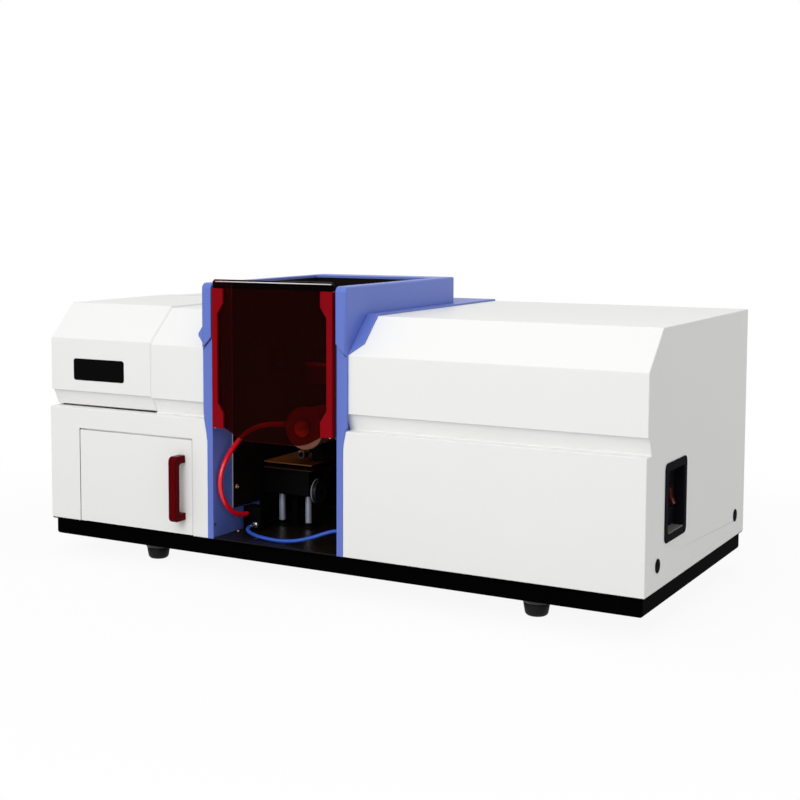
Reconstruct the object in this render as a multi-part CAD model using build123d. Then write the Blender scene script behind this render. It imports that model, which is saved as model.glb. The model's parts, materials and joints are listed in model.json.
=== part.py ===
# Flame atomic absorption spectrometer for a laboratory bench.
# Two white sheet-metal housings stand on a black base, with a blue burner chamber between them.
# The lamps are on the left, the burner is in the middle and the monochromator is on the right.
# X runs along the front, Y runs from front to back and Z runs up.
# Pieces are drawn from the middle of the front, at the lower edge of the white covers, and are
# moved to the middle of the footprint, with the feet at zero, when they are written.
from build123d import *
import math
import os

os.makedirs("parts", exist_ok=True)

# Driving dimensions of the whole instrument, in millimetres
body_width = 1020.0
body_depth = 490.0
cover_height = 355.0
base_height = 29.0
foot_height = 32.0
handle_reach = 28.0
rear_reach = 20.0

# Side outline of the white covers
ledge_height = 188.0
groove_depth = 21.0
brow_rise = 25.0
upper_setback = 4.5
brow_step = 5.0
slope_drop = 55.0
slope_depth = 63.0

# The burner chamber and the light path through it
chamber_centre = -69.0
chamber_width = 222.0
chamber_depth = 317.0
beam_depth = 190.0
beam_drop = 84.0
burner_from_wall = 111.0

# Sheet metal, clearances and the overrun of every cut
sheet = 2.0
cut_over = 5.0
near_gap = 0.3
shaft_gap = 0.05

half_width = body_width / 2
brow_height = ledge_height + brow_rise
slope_start = cover_height - slope_drop
beam_height = cover_height - beam_drop
chamber_left = chamber_centre - chamber_width / 2
chamber_right = chamber_centre + chamber_width / 2
burner_across = chamber_left + burner_from_wall
middle_depth = (body_depth + rear_reach - handle_reach) / 2
to_footprint = Pos(0, -middle_depth, foot_height + base_height)
along_x = (1, 0, 0)
along_y = (0, 1, 0)
along_z = (0, 0, 1)
towards_front = (0, -1, 0)


def save(name, *solids):
    """Write one node, which may hold several separate solids."""
    placed = [to_footprint * solid for solid in solids]
    export_step(placed[0] if len(placed) == 1 else Compound(children=placed), "parts/" + name + ".step")


def block(x0, x1, y0, y1, z0, z1):
    """A box between two corners."""
    return Pos((x0 + x1) / 2, (y0 + y1) / 2, (z0 + z1) / 2) * Box(x1 - x0, y1 - y0, z1 - z0)


def rod_x(y, z, x0, x1, radius):
    """A round bar along X."""
    return Pos((x0 + x1) / 2, y, z) * Rot(0, 90, 0) * Cylinder(radius, x1 - x0)


def rod_y(x, z, y0, y1, radius):
    """A round bar along Y."""
    return Pos(x, (y0 + y1) / 2, z) * Rot(90, 0, 0) * Cylinder(radius, y1 - y0)


def rod_z(x, y, z0, z1, radius):
    """A round bar along Z."""
    return Pos(x, y, (z0 + z1) / 2) * Cylinder(radius, z1 - z0)


def side_prism(outline, x0, x1):
    """A side outline, as a face or a list of (y, z) points, carried from x0 to x1."""
    face = Polygon(*outline, align=None) if isinstance(outline, list) else outline
    return extrude(Plane.YZ.offset(x0) * face, amount=x1 - x0, dir=along_x)


def front_prism(outline, y0, y1):
    """A front outline, as a face or a list of (x, z) points, carried from y0 to y1."""
    face = Polygon(*outline, align=None) if isinstance(outline, list) else outline
    return extrude(Plane.XZ.offset(-y1) * face, amount=y1 - y0, dir=towards_front)


def plan_prism(points, z0, z1):
    """A plan outline of (x, y) points, carried from z0 to z1."""
    return extrude(Plane.XY.offset(z0) * Polygon(*points, align=None), amount=z1 - z0, dir=along_z)


def rounded_front(x0, x1, z0, z1, radius):
    """A face in the front view with rounded corners."""
    return Pos((x0 + x1) / 2, (z0 + z1) / 2) * RectangleRounded(x1 - x0, z1 - z0, radius)


# Base: a black folded tray with a rim that carries the covers, a ribbed deck and four feet
base_inset_x = 5.0
base_inset_front = 7.5
base_inset_back = 4.5
base_sheet = 3.0
rim_inset = 1.0
deck_gap = 0.5
tray_bend = 5.0
rib_count = 5
rib_margin = 20.0
half_base = half_width - base_inset_x
base_front = base_inset_front
base_back = body_depth - base_inset_back
tray_inner = half_base - base_sheet

base_tray = block(-half_base, half_base, base_front, base_back, -base_height, 0)
base_tray = fillet(base_tray.faces().sort_by(Axis.Z)[0].edges(), tray_bend)
base_tray += block(rim_inset - half_width, half_width - rim_inset, rim_inset, body_depth - rim_inset, -sheet, 0)
base_tray -= block(-tray_inner, tray_inner, base_front + base_sheet, base_back - base_sheet,
                   base_sheet - base_height, cut_over)
save("base_tray", base_tray)

deck_half = tray_inner - deck_gap
deck_front = base_front + base_sheet + deck_gap
deck_back = base_back - base_sheet - deck_gap
deck_plate = block(-deck_half, deck_half, deck_front, deck_back, -sheet, 0)
rib_spacing = 2 * (deck_half - rib_margin) / (rib_count - 1)
for rib in range(rib_count):
    rib_x = rib_margin - deck_half + rib * rib_spacing
    deck_plate += block(rib_x - base_sheet / 2, rib_x + base_sheet / 2, deck_front + rib_margin,
                        deck_back - rib_margin, base_sheet - base_height, -sheet)
save("deck_plate", deck_plate)

foot_end_inset = 176.0
foot_setback = 62.0
ring_radius = 20.5
ring_height = 13.0
ring_chamfer = 1.5
pad_radius = 19.0
pad_bottom_radius = 17.0
pad_round = 2.5
foot_rings = []
foot_pads = []
foot_half_span = half_width - foot_end_inset
pad_height = foot_height - ring_height
for foot_x in (-foot_half_span, foot_half_span):
    for foot_y in (foot_setback, body_depth - foot_setback):
        ring = rod_z(foot_x, foot_y, -base_height - ring_height, -base_height, ring_radius)
        foot_rings.append(chamfer(ring.edges().sort_by(Axis.Z)[0], ring_chamfer))
        pad_middle = -base_height - ring_height - pad_height / 2
        pad = Pos(foot_x, foot_y, pad_middle) * Cone(pad_bottom_radius, pad_radius, pad_height)
        foot_pads.append(fillet(pad.edges().filter_by(GeomType.CIRCLE).sort_by(Axis.Z)[0], pad_round))
save("foot_rings", *foot_rings)
save("foot_pads", *foot_pads)

# White covers: folded shells, open below and towards the chamber
cover_outline = [(0, 0), (0, ledge_height), (groove_depth, ledge_height),
                 (upper_setback + brow_step, brow_height), (upper_setback, brow_height),
                 (upper_setback, slope_start), (slope_depth, cover_height), (body_depth, cover_height),
                 (body_depth, 0)]


def cover_core(inset, x0, x1):
    """The space inside the covers' outline, open below."""
    low = -inset - cut_over
    points = [(0, low)] + cover_outline[1:-1] + [(body_depth, low)]
    face = offset(Polygon(*points, align=None), amount=-inset, kind=Kind.INTERSECTION)
    return side_prism(face, x0, x1)


column_width = 17.5
column_waist = 10.5
waist_left = chamber_left - column_waist
waist_right = chamber_right + column_waist
plug_radius = 10.0
plug_stem_radius = 7.0
plug_stem = 5.0
end_proud = 1.5
plug_height = 34.0
plug_setback = 52.0

# Lamp lid and front door: the places that the left cover leaves open for them
column_to_lid = 106.5
lid_inner_edge = chamber_left - column_width - column_to_lid
lid_rise = 2.5
lid_hinge_setback = 330.5
lid_rear_gap = 4.0
lid_cut_back = 1.5
hinge_end_gap = 4.0
hinge_room = 4.5
hinge_room_depth = 5.0
seam_gap = 1.0
door_end_inset = 61.5
door_column_gap = 22.2
door_left = door_end_inset - half_width
door_right = chamber_left - column_width - door_column_gap
door_opening_top = 154.4

# Round openings in the back of the covers
fan_column_gap = 147.5
fan_x = waist_right + fan_column_gap
fan_z = 90.0
fan_bore = 38.5
gas_inlet_height = 80.0
gas_inlet_insets = (110.0, 170.0)
gas_inlet_places = [inset - half_width for inset in gas_inlet_insets]
gas_stem_radius = 6.0
inlet_inset = 70.0
inlet_x = half_width - inlet_inset
inlet_z = 60.0
inlet_half_width = 13.8
inlet_half_height = 10.0

left_cover = side_prism(cover_outline, -half_width, waist_left)
left_cover -= cover_core(sheet, sheet - half_width, waist_left + cut_over)
left_cover -= block(-half_width - cut_over, lid_inner_edge + seam_gap, -cut_over,
                    lid_hinge_setback - lid_cut_back, ledge_height, cover_height + cut_over)
left_cover -= block(hinge_end_gap - half_width - near_gap, lid_inner_edge - hinge_end_gap + near_gap,
                    lid_hinge_setback - lid_cut_back - cut_over, lid_hinge_setback + hinge_room,
                    cover_height - hinge_room_depth, cover_height + cut_over)
left_cover -= block(door_left, door_right, -cut_over, sheet + cut_over, -cut_over, door_opening_top)
for gas_x in gas_inlet_places:
    left_cover -= rod_y(gas_x, gas_inlet_height, body_depth - sheet - cut_over, body_depth + cut_over,
                        gas_stem_radius + near_gap)
plug_places = (plug_setback, body_depth - plug_setback)
for plug_y in plug_places:
    left_cover -= rod_x(plug_y, plug_height, -half_width - cut_over, sheet + cut_over - half_width,
                        plug_stem_radius + near_gap)
save("left_cover", left_cover)

# Switch recess in the right end
recess_front = 79.0
recess_back = 176.0
recess_bottom = 58.0
recess_top = 168.0
recess_corner = 9.0
bezel_width = 12.0
recess_pocket = 14.0
pocket_corner = 6.0
cup_wall = 2.0
pocket_front = recess_front + bezel_width
pocket_back = recess_back - bezel_width
pocket_bottom = recess_bottom + bezel_width
pocket_top = recess_top - bezel_width

right_cover = side_prism(cover_outline, waist_right, half_width)
right_cover -= cover_core(sheet, waist_right - cut_over, half_width - sheet)
right_cover -= block(half_width - sheet - cut_over, half_width + cut_over, pocket_front - cup_wall - near_gap,
                     pocket_back + cup_wall + near_gap, pocket_bottom - cup_wall - near_gap,
                     pocket_top + cup_wall + near_gap)
right_cover -= rod_y(fan_x, fan_z, body_depth - sheet - cut_over, body_depth + cut_over, fan_bore)
right_cover -= block(inlet_x - inlet_half_width - near_gap, inlet_x + inlet_half_width + near_gap,
                     body_depth - sheet - cut_over, body_depth + cut_over,
                     inlet_z - inlet_half_height - near_gap, inlet_z + inlet_half_height + near_gap)
for plug_y in plug_places:
    right_cover -= rod_x(plug_y, plug_height, half_width - sheet - cut_over, half_width + cut_over,
                         plug_stem_radius + near_gap)
save("right_cover", right_cover)

cover_plugs = []
for side in (-1, 1):
    for plug_y in plug_places:
        face_x = side * half_width
        stem_x = side * (half_width - plug_stem)
        plug = rod_x(plug_y, plug_height, min(face_x, face_x + side * end_proud),
                     max(face_x, face_x + side * end_proud), plug_radius)
        plug += rod_x(plug_y, plug_height, min(stem_x, face_x), max(stem_x, face_x), plug_stem_radius)
        cover_plugs.append(plug)
save("cover_plugs", *cover_plugs)

# Blue chamber columns: moulded slabs with a rim in front that narrows in a soft curve at the waist
column_proud = 0.5
hood_proud = 4.0
curve_top = 205.0
curve_bottom = 152.0
hood_back_wall = 45.0
hood_rise = 46.0
saddle_sheet = 3.0
seam_front_rise = -1.5
seam_rise = 18.0
hood_back = chamber_depth + hood_back_wall
hood_top = cover_height + hood_rise
seam_front = slope_start + seam_front_rise
seam_top = cover_height + saddle_sheet
seam_slope = (seam_top - seam_front) / (slope_depth + hood_proud)
tube_radius = 16.0
tube_wall = 3.5


def seam_solid(side, above):
    """The space above or below the seam between a column and the hood, at one side."""
    inner = chamber_centre + side * chamber_width / 2
    outer = inner + side * column_width
    start = outer + side * cut_over
    low_rise = seam_rise * cut_over / column_width
    front = -hood_proud - cut_over
    back = hood_back if above else hood_back + cut_over
    far = hood_top + cut_over if above else 0
    line = [(front, seam_front - cut_over * seam_slope), (slope_depth, seam_top), (back, seam_top)]
    points = [(y, z - low_rise) for y, z in line] + [(back, far), (front, far)]
    carry = Vector(inner - start, 0, seam_rise + low_rise)
    face = Plane.YZ.offset(start) * Polygon(*points, align=None)
    return extrude(face, amount=carry.length, dir=carry.normalized())


def column(side):
    """One column, with its top cut to the seam and its back under the saddle."""
    inner = chamber_centre + side * chamber_width / 2
    outer = inner + side * column_width
    waist = inner + side * column_waist
    curve = Spline((outer, curve_top), (waist, curve_bottom), tangents=[(0, -1), (0, -1)])
    lines = Polyline((waist, curve_bottom), (waist, 0), (inner, 0), (inner, hood_top), (outer, hood_top),
                     (outer, curve_top))
    body = front_prism(make_face([curve, lines]), -column_proud, body_depth)
    body -= seam_solid(side, True)
    low, high = sorted((outer + side * cut_over, inner - side * cut_over))
    body -= block(low, high, hood_back, body_depth + cut_over, cover_height, hood_top + cut_over)
    low, high = sorted((outer + side * cut_over, waist))
    body -= side_prism(cover_outline, low, high)
    body -= block(low, high, upper_setback, groove_depth + cut_over, ledge_height, brow_height + cut_over)
    low, high = sorted((outer + side * cut_over, inner - side * cut_over))
    return body - rod_x(beam_depth, beam_height, low, high, tube_radius + tube_wall + near_gap)


save("left_column", column(-1))
save("right_column", column(1))

# Blue chimney hood: side walls and a deep back wall, open in front and on top
hood_corner = 9.0
hood_edge = 3.5
hood_left = chamber_left - column_width
hood_right = chamber_right + column_width
chimney_hood = block(hood_left, hood_right, -hood_proud, hood_back, seam_front - cut_over, hood_top)
top_front = chimney_hood.edges().filter_by(Axis.X).sort_by(Axis.Z)[-2:].sort_by(Axis.Y)[0]
chimney_hood = fillet(top_front, hood_corner)
chimney_hood = fillet(chimney_hood.edges().filter_by(Axis.Z), hood_edge)
chimney_hood -= block(chamber_left, chamber_right, -hood_proud - cut_over, chamber_depth,
                      seam_front - 2 * cut_over, hood_top + cut_over)
chimney_hood -= block(chamber_left, chamber_right, -hood_proud - cut_over, hood_back + cut_over,
                      seam_front - 2 * cut_over, seam_top)
chimney_hood -= seam_solid(-1, False)
chimney_hood -= seam_solid(1, False)
save("chimney_hood", chimney_hood)

# Blue saddle: a sheet that laps over the white slopes beside the hood and closes the top behind it
flare_left = 24.0
flare_right = 18.0
flare_setback = 17.0
slope_angle = math.atan2(cover_height - slope_start, slope_depth - upper_setback)
lift_y = saddle_sheet * math.sin(slope_angle)
lift_z = saddle_sheet * math.cos(slope_angle)
crease_shift = saddle_sheet * math.tan(slope_angle / 2)
saddle_outline = [(upper_setback, slope_start), (slope_depth, cover_height), (body_depth, cover_height),
                  (body_depth, seam_top), (slope_depth - crease_shift, seam_top),
                  (upper_setback - lift_y, slope_start + lift_z)]
rear_saddle = side_prism(saddle_outline, hood_left - flare_left, hood_right + flare_right)
rear_saddle -= block(hood_left, chamber_left, -cut_over, hood_back, slope_start - cut_over,
                     seam_top + cut_over)
rear_saddle -= block(chamber_right, hood_right, -cut_over, hood_back, slope_start - cut_over,
                     seam_top + cut_over)
rear_saddle -= block(chamber_left, chamber_right, -cut_over, chamber_depth, slope_start - cut_over,
                     seam_top + cut_over)
for edge, flare in ((hood_left, -flare_left), (hood_right, flare_right)):
    past = 1 + cut_over / abs(flare)
    far_x = edge + flare * past
    far_y = upper_setback + flare_setback * past
    rear_saddle -= plan_prism([(edge, upper_setback), (far_x, far_y), (far_x, -cut_over), (edge, -cut_over)],
                              slope_start - cut_over, seam_top + cut_over)
save("rear_saddle", rear_saddle)

# Rear panel: the blue sheet that closes the back between the two columns
rear_sheet = 4.0
save("rear_panel", block(chamber_left, chamber_right, body_depth - rear_sheet, body_depth, 0, cover_height))

# Chamber lining: black floor, slotted back plate and side sheets
floor_sheet = 2.0
lining_drop = 4.0
slot_count = 9
slot_width = 5.0
slot_margin = 26.0
slot_bottom = 60.0
slot_drop = 25.0
liner_front = 53.0
liner_bottom = 40.0
liner_notch = 132.0
slot_top = cover_height - slot_drop
lining_top = hood_top - lining_drop

save("chamber_floor", block(chamber_left, chamber_right, 0, chamber_depth - sheet, 0, floor_sheet))
chamber_back = block(chamber_left, chamber_right, chamber_depth - sheet, chamber_depth, 0, lining_top)
slot_spacing = (chamber_width - 2 * slot_margin) / (slot_count - 1)
for slot in range(slot_count):
    slot_x = chamber_left + slot_margin + slot * slot_spacing
    chamber_back -= block(slot_x - slot_width / 2, slot_x + slot_width / 2, chamber_depth - sheet - cut_over,
                          chamber_depth + cut_over, slot_bottom, slot_top)
save("chamber_back", chamber_back)

chamber_liners = []
for side in (-1, 1):
    wall_x = chamber_centre + side * chamber_width / 2
    low, high = sorted((wall_x, wall_x - side * sheet))
    liner = block(low, high, liner_front, chamber_depth - sheet, floor_sheet + near_gap, lining_top)
    liner -= block(low - cut_over, high + cut_over, liner_front - cut_over, liner_notch, 0, liner_bottom)
    chamber_liners.append(liner - rod_x(beam_depth, beam_height, low - cut_over, high + cut_over,
                                        tube_radius + tube_wall + near_gap))
save("chamber_liners", *chamber_liners)

# Beam windows: a black flanged tube through each wall, with a quartz disc seated in its flange
flange_radius = 26.0
flange_thickness = 6.0
tube_reach = 14.0
window_radius = 18.0
window_thickness = 1.5
window_recess = 2.0
window_flanges = []
beam_windows = []
for side in (-1, 1):
    wall_x = chamber_centre + side * (chamber_width / 2 - sheet)
    face_x = wall_x - side * flange_thickness
    tail_x = wall_x + side * (sheet + column_width + tube_reach)
    seat_x = face_x + side * window_recess
    low, high = sorted((wall_x, face_x))
    flange = rod_x(beam_depth, beam_height, low, high, flange_radius)
    low, high = sorted((wall_x, tail_x))
    flange += rod_x(beam_depth, beam_height, low, high, tube_radius + tube_wall)
    low, high = sorted((face_x - side * cut_over, tail_x + side * cut_over))
    flange -= rod_x(beam_depth, beam_height, low, high, tube_radius)
    low, high = sorted((face_x - side * cut_over, seat_x))
    flange -= rod_x(beam_depth, beam_height, low, high, window_radius + near_gap)
    window_flanges.append(flange)
    low, high = sorted((seat_x, seat_x - side * window_thickness))
    beam_windows.append(rod_x(beam_depth, beam_height, low, high, window_radius))
save("window_flanges", *window_flanges)
save("beam_windows", *beam_windows)

# Flame shield: a smoked acrylic sheet with a bent lip, screwed to two red brackets whose tongues
# run in slotted guides on the chamber walls
guide_thickness = 3.4
guide_front = 1.3
guide_back = 9.0
guide_bottom = 174.5
guide_stop = 1.5
guide_drop = 5.0
tongue_slot = 4.0
slot_front = 3.2
slot_floor = 1.0
bracket_bottom = 177.0
bracket_drop = 8.0
bracket_inset = 3.8
bracket_wide = 20.5
bracket_narrow = 10.0
bracket_foot = 23.0
bracket_chamfer = 16.0
bracket_front = 7.0
bracket_thickness = 4.7
leg_thickness = 3.5
leg_depth = 14.0
acrylic = 3.0
sheet_low = 160.0
sheet_sides_low = 178.0
sheet_flat = 40.0
sheet_curve_end = 95.0
lip_height = 14.0
lip_lean = 2.0
lip_side_gap = 3.5
lip_taper = 4.0
lip_shoulder = 4.0
lip_round = 1.2

guide_top = hood_top - guide_drop
bracket_top = hood_top - bracket_drop
shield_guides = []
shield_brackets = []
leg_inner = bracket_inset + leg_thickness
for side in (-1, 1):
    wall_x = chamber_centre + side * chamber_width / 2
    face_x = wall_x - side * guide_thickness
    low, high = sorted((wall_x, face_x))
    guide = block(low, high, guide_front, guide_back, guide_bottom, guide_top)
    low, high = sorted((wall_x - side * slot_floor, face_x - side * cut_over))
    guide -= block(low, high, slot_front, slot_front + tongue_slot, guide_bottom + guide_stop,
                   guide_top + cut_over)
    shield_guides.append(guide)
    outer = wall_x - side * bracket_inset
    wide = outer - side * bracket_wide
    narrow = outer - side * bracket_narrow
    foot_top = bracket_bottom + bracket_foot
    head_bottom = bracket_top - bracket_foot
    outline = [(outer, bracket_bottom), (wide, bracket_bottom), (wide, foot_top),
               (narrow, foot_top + bracket_chamfer), (narrow, head_bottom - bracket_chamfer),
               (wide, head_bottom), (wide, bracket_top), (outer, bracket_top)]
    bracket = front_prism(outline, -bracket_front, bracket_thickness - bracket_front)
    low, high = sorted((outer, outer - side * leg_thickness))
    bracket += block(low, high, -bracket_front, leg_depth - bracket_front, bracket_bottom, bracket_top)
    tongue_end = wall_x - side * (slot_floor + near_gap)
    low, high = sorted((outer, tongue_end))
    bracket += block(low, high, slot_front + near_gap, slot_front + tongue_slot - near_gap,
                     bracket_bottom, bracket_top)
    shield_brackets.append(bracket)
save("shield_guides", *shield_guides)
save("shield_brackets", *shield_brackets)

sheet_half = chamber_width / 2 - leg_inner - near_gap
sheet_front = bracket_thickness - bracket_front
sheet_left = chamber_centre - sheet_half
sheet_right = chamber_centre + sheet_half
bottom_left = Spline((sheet_left, sheet_sides_low), (chamber_centre - sheet_curve_end, sheet_sides_low),
                     (chamber_centre - sheet_flat, sheet_low), tangents=[(1, 0), (1, 0)])
bottom_right = Spline((chamber_centre + sheet_flat, sheet_low),
                      (chamber_centre + sheet_curve_end, sheet_sides_low),
                      (sheet_right, sheet_sides_low), tangents=[(1, 0), (1, 0)])
sheet_edges = Polyline((sheet_right, sheet_sides_low), (sheet_right, bracket_top), (sheet_left, bracket_top),
                       (sheet_left, sheet_sides_low))
sheet_middle = Line((chamber_centre - sheet_flat, sheet_low), (chamber_centre + sheet_flat, sheet_low))
shield_sheet = front_prism(make_face([bottom_left, sheet_middle, bottom_right, sheet_edges]), sheet_front,
                           sheet_front + acrylic)
lip_bottom = bracket_top + near_gap
lip_top = bracket_top + lip_height
lip_half = chamber_width / 2 - lip_side_gap
lip_outline = [(sheet_front, bracket_top), (sheet_front + acrylic, bracket_top),
               (sheet_front + acrylic, lip_bottom), (sheet_front + acrylic - lip_lean, lip_top),
               (sheet_front - lip_lean, lip_top), (sheet_front, lip_bottom)]
lip = side_prism(lip_outline, chamber_centre - lip_half, chamber_centre + lip_half)
lip = fillet(lip.edges().filter_by(Axis.X).group_by(Axis.Z)[-1], lip_round)
lip_ends = [(sheet_left, bracket_top), (sheet_right, bracket_top), (sheet_right, lip_bottom),
            (chamber_centre + lip_half, lip_bottom), (chamber_centre + lip_half, lip_top - lip_shoulder),
            (chamber_centre + lip_half - lip_taper, lip_top), (chamber_centre - lip_half + lip_taper, lip_top),
            (chamber_centre - lip_half, lip_top - lip_shoulder), (chamber_centre - lip_half, lip_bottom),
            (sheet_left, lip_bottom)]
shield_sheet += lip & front_prism(lip_ends, sheet_front - lip_lean - cut_over, sheet_front + acrylic + cut_over)
save("shield_sheet", shield_sheet)

# Burner lift: two aluminium posts and a rack on a black foot plate
post_radius = 5.25
post_depth = 150.0
post_half_span = 25.0
lift_offset = 52.6
foot_plate_half = 42.0
foot_plate_front = 20.0
foot_plate_back = 20.0
foot_plate_thickness = 2.0
shoe_radius = 9.0
shoe_height = 4.0
post_drop = 10.0
rack_drop = 1.0
gear_face = 10.0
lift_module = 1.0
lift_teeth = 16
tip_share = 0.9
root_share = 1.2
tip_width_share = 0.10
root_width_share = 0.33
pinion_rise = 8.0
pinion_depth = 138.0
rack_back = 8.0
block_half = 42.0
block_share = 5 / 11
flame_gap = 7.0
head_height = 33.0
neck_rise = 61.0
cradle_rise = 39.0
chamber_radius = 30.0
block_front = 122.0
block_back = 166.0
rack_room = 2.0

head_top = beam_height - flame_gap
head_bottom = head_top - head_height
chamber_z = head_bottom - neck_rise
block_top = chamber_z - chamber_radius - cradle_rise
block_bottom = block_top - block_share * (block_top - floor_sheet)
post_top = block_top - post_drop
rack_top = post_top - rack_drop
pinion_height = block_bottom + pinion_rise
lift_centre = burner_across - lift_offset
plate_top = floor_sheet + foot_plate_thickness
posts = (lift_centre - post_half_span, lift_centre + post_half_span)
burner_base = block(lift_centre - foot_plate_half, lift_centre + foot_plate_half, post_depth - foot_plate_front,
                    post_depth + foot_plate_back, floor_sheet, plate_top)
for post_x in posts:
    shoe = rod_z(post_x, post_depth, plate_top, plate_top + shoe_height, shoe_radius)
    burner_base += shoe - rod_z(post_x, post_depth, plate_top, plate_top + shoe_height, post_radius + near_gap)
save("burner_base", burner_base)


def tooth_points(module, teeth, phase):
    """The plan outline of a spur gear with straight tooth flanks, one tooth centred on the phase."""
    pitch_radius = module * teeth / 2
    tip = pitch_radius + tip_share * module
    root = pitch_radius - root_share * module
    step = 2 * math.pi / teeth
    points = []
    for tooth in range(teeth):
        middle = phase + tooth * step
        for radius, share in ((root, -root_width_share), (tip, -tip_width_share), (tip, tip_width_share),
                              (root, root_width_share)):
            angle = middle + share * step
            points.append((radius * math.cos(angle), radius * math.sin(angle)))
    return points


pitch_line = pinion_depth + lift_module * lift_teeth / 2
tooth_pitch = math.pi * lift_module
rack_teeth = int((rack_top - block_bottom + 2 * lift_teeth * lift_module) / tooth_pitch)
rack_points = [(pitch_line + rack_back, rack_top), (pitch_line + rack_back, plate_top),
               (pitch_line + root_share * lift_module, plate_top)]
first_tooth = -int((pinion_height - block_bottom + lift_teeth * lift_module) / tooth_pitch)
for tooth in range(first_tooth, first_tooth + rack_teeth):
    tooth_z = pinion_height + (tooth + 1 / 2) * tooth_pitch
    for share_y, share_z in ((root_share, -root_width_share), (-tip_share, -tip_width_share),
                             (-tip_share, tip_width_share), (root_share, root_width_share)):
        point_z = tooth_z + share_z * tooth_pitch
        if point_z < rack_top:
            rack_points.append((pitch_line + share_y * lift_module, point_z))
rack_points.append((pitch_line + root_share * lift_module, rack_top))
lift_guides = [rod_z(post_x, post_depth, plate_top, post_top, post_radius) for post_x in posts]
lift_guides.append(side_prism(rack_points, lift_centre - gear_face / 2, lift_centre + gear_face / 2))
save("lift_guides", *lift_guides)

# Lift carriage: a black block that slides on the posts. It carries the stage, a folded brown sheet
# with two saddle posts for the spray chamber.
knob_shaft_radius = 3.0
knob_shaft_tail = 6.0
slot_half = gear_face / 2 + rack_room
lift_block = block(lift_centre - block_half, lift_centre + block_half, block_front, block_back, block_bottom,
                   block_top)
for post_x in posts:
    lift_block -= rod_z(post_x, post_depth, block_bottom - cut_over, block_top + cut_over,
                        post_radius + shaft_gap)
lift_block -= block(lift_centre - slot_half, lift_centre + slot_half,
                    block_front + 2 * rack_room, pitch_line + rack_back + rack_room, block_bottom - cut_over,
                    block_top + cut_over)
lift_block -= rod_x(pinion_depth, pinion_height, lift_centre - slot_half - knob_shaft_tail,
                    lift_centre + block_half + cut_over, knob_shaft_radius + shaft_gap)
save("lift_block", lift_block)

knob_radius = 19.5
knob_length = 8.0
knob_gap = 6.0
knob_edge = 1.5
shaft_end_gap = 0.5
knob_x = lift_centre + block_half + knob_gap
lift_knob = rod_x(pinion_depth, pinion_height, knob_x, knob_x + knob_length, knob_radius)
lift_knob = fillet(lift_knob.edges().filter_by(GeomType.CIRCLE), knob_edge)
lift_knob += rod_x(pinion_depth, pinion_height, lift_centre - slot_half - knob_shaft_tail + shaft_end_gap,
                   knob_x + knob_edge, knob_shaft_radius)
pinion = Polygon(*tooth_points(lift_module, lift_teeth, 0), align=None)
pinion_plane = Plane(origin=(lift_centre - gear_face / 2, pinion_depth, pinion_height), x_dir=along_y,
                     z_dir=along_x)
lift_knob += extrude(pinion_plane * pinion, amount=gear_face, dir=along_x)
save("lift_knob", lift_knob)

stage_left_half = 82.0
stage_right_half = 8.0
stage_front = 100.0
stage_back = 205.0
stage_height = 11.0
stage_corner = 2.0
chamber_shift = 5.0
chamber_front = 105.0
chamber_back_end = 225.0
rib_thickness = 6.0
rib_half = 11.0
front_rib = 140.0
back_rib = 185.0
stage_left = burner_across - stage_left_half
stage_right = burner_across + stage_right_half
chamber_x = burner_across - chamber_shift
stage_top = block_top + stage_height
burner_stage = block(stage_left, stage_right, stage_front, stage_back, block_top, stage_top)
burner_stage = fillet(burner_stage.edges().filter_by(Axis.Z).group_by(Axis.Y)[0], stage_corner)
burner_stage -= block(stage_left - cut_over, stage_right + cut_over, stage_front - cut_over,
                      stage_back - sheet, block_top + sheet, stage_top - sheet)
for rib_y in (front_rib, back_rib):
    burner_stage += block(chamber_x - rib_half, chamber_x + rib_half, rib_y, rib_y + rib_thickness,
                          stage_top, chamber_z)
burner_stage -= rod_y(chamber_x, chamber_z, stage_front, stage_back, chamber_radius + near_gap)
save("burner_stage", burner_stage)

# Spray chamber: a moulded cylinder with a flanged front end, a burner neck, a fuel port and a drain elbow
end_flange_radius = 34.0
end_flange = 6.0
neck_radius = 16.0
neck_gap = 8.0
spigot_radius = 10.0
spigot_gap = 1.0
port_radius = 5.5
port_across = 24.1
port_depth = 16.0
port_rise = 1.8
port_run_plan = (-22.4, -11.0)
drain_radius = 6.0
drain_shift = 5.5
drain_y = 112.0
drain_front = 98.0
drain_drop = 12.0
drain_nut_radius = 7.0
drain_bore_radius = 3.5
drain_bore_depth = 9.0
neck_top = head_bottom - neck_gap
spigot_top = head_bottom - spigot_gap
spray_chamber = rod_y(chamber_x, chamber_z, chamber_front, chamber_back_end, chamber_radius)
spray_chamber += rod_y(chamber_x, chamber_z, chamber_front - end_flange, chamber_front, end_flange_radius)
spray_chamber += rod_z(burner_across, beam_depth, chamber_z, neck_top, neck_radius)
spray_chamber += rod_z(burner_across, beam_depth, neck_top, spigot_top, spigot_radius)
port_start = (chamber_x - port_across, chamber_front + port_depth, chamber_z + port_rise)
port_run = Vector(*port_run_plan, 0)
port_plane = Plane(origin=port_start, z_dir=tuple(port_run))
spray_chamber += extrude(port_plane * Circle(port_radius), amount=port_run.length, dir=port_run.normalized())
drain_x = chamber_x - drain_shift
drain_z = chamber_z - chamber_radius - drain_drop
spray_chamber += rod_z(drain_x, drain_y, drain_z, chamber_z, drain_radius)
spray_chamber += rod_y(drain_x, drain_z, drain_front, drain_y, drain_nut_radius)
spray_chamber -= rod_y(drain_x, drain_z, drain_front - cut_over, drain_front + drain_bore_depth, drain_bore_radius)
save("spray_chamber", spray_chamber)

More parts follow.
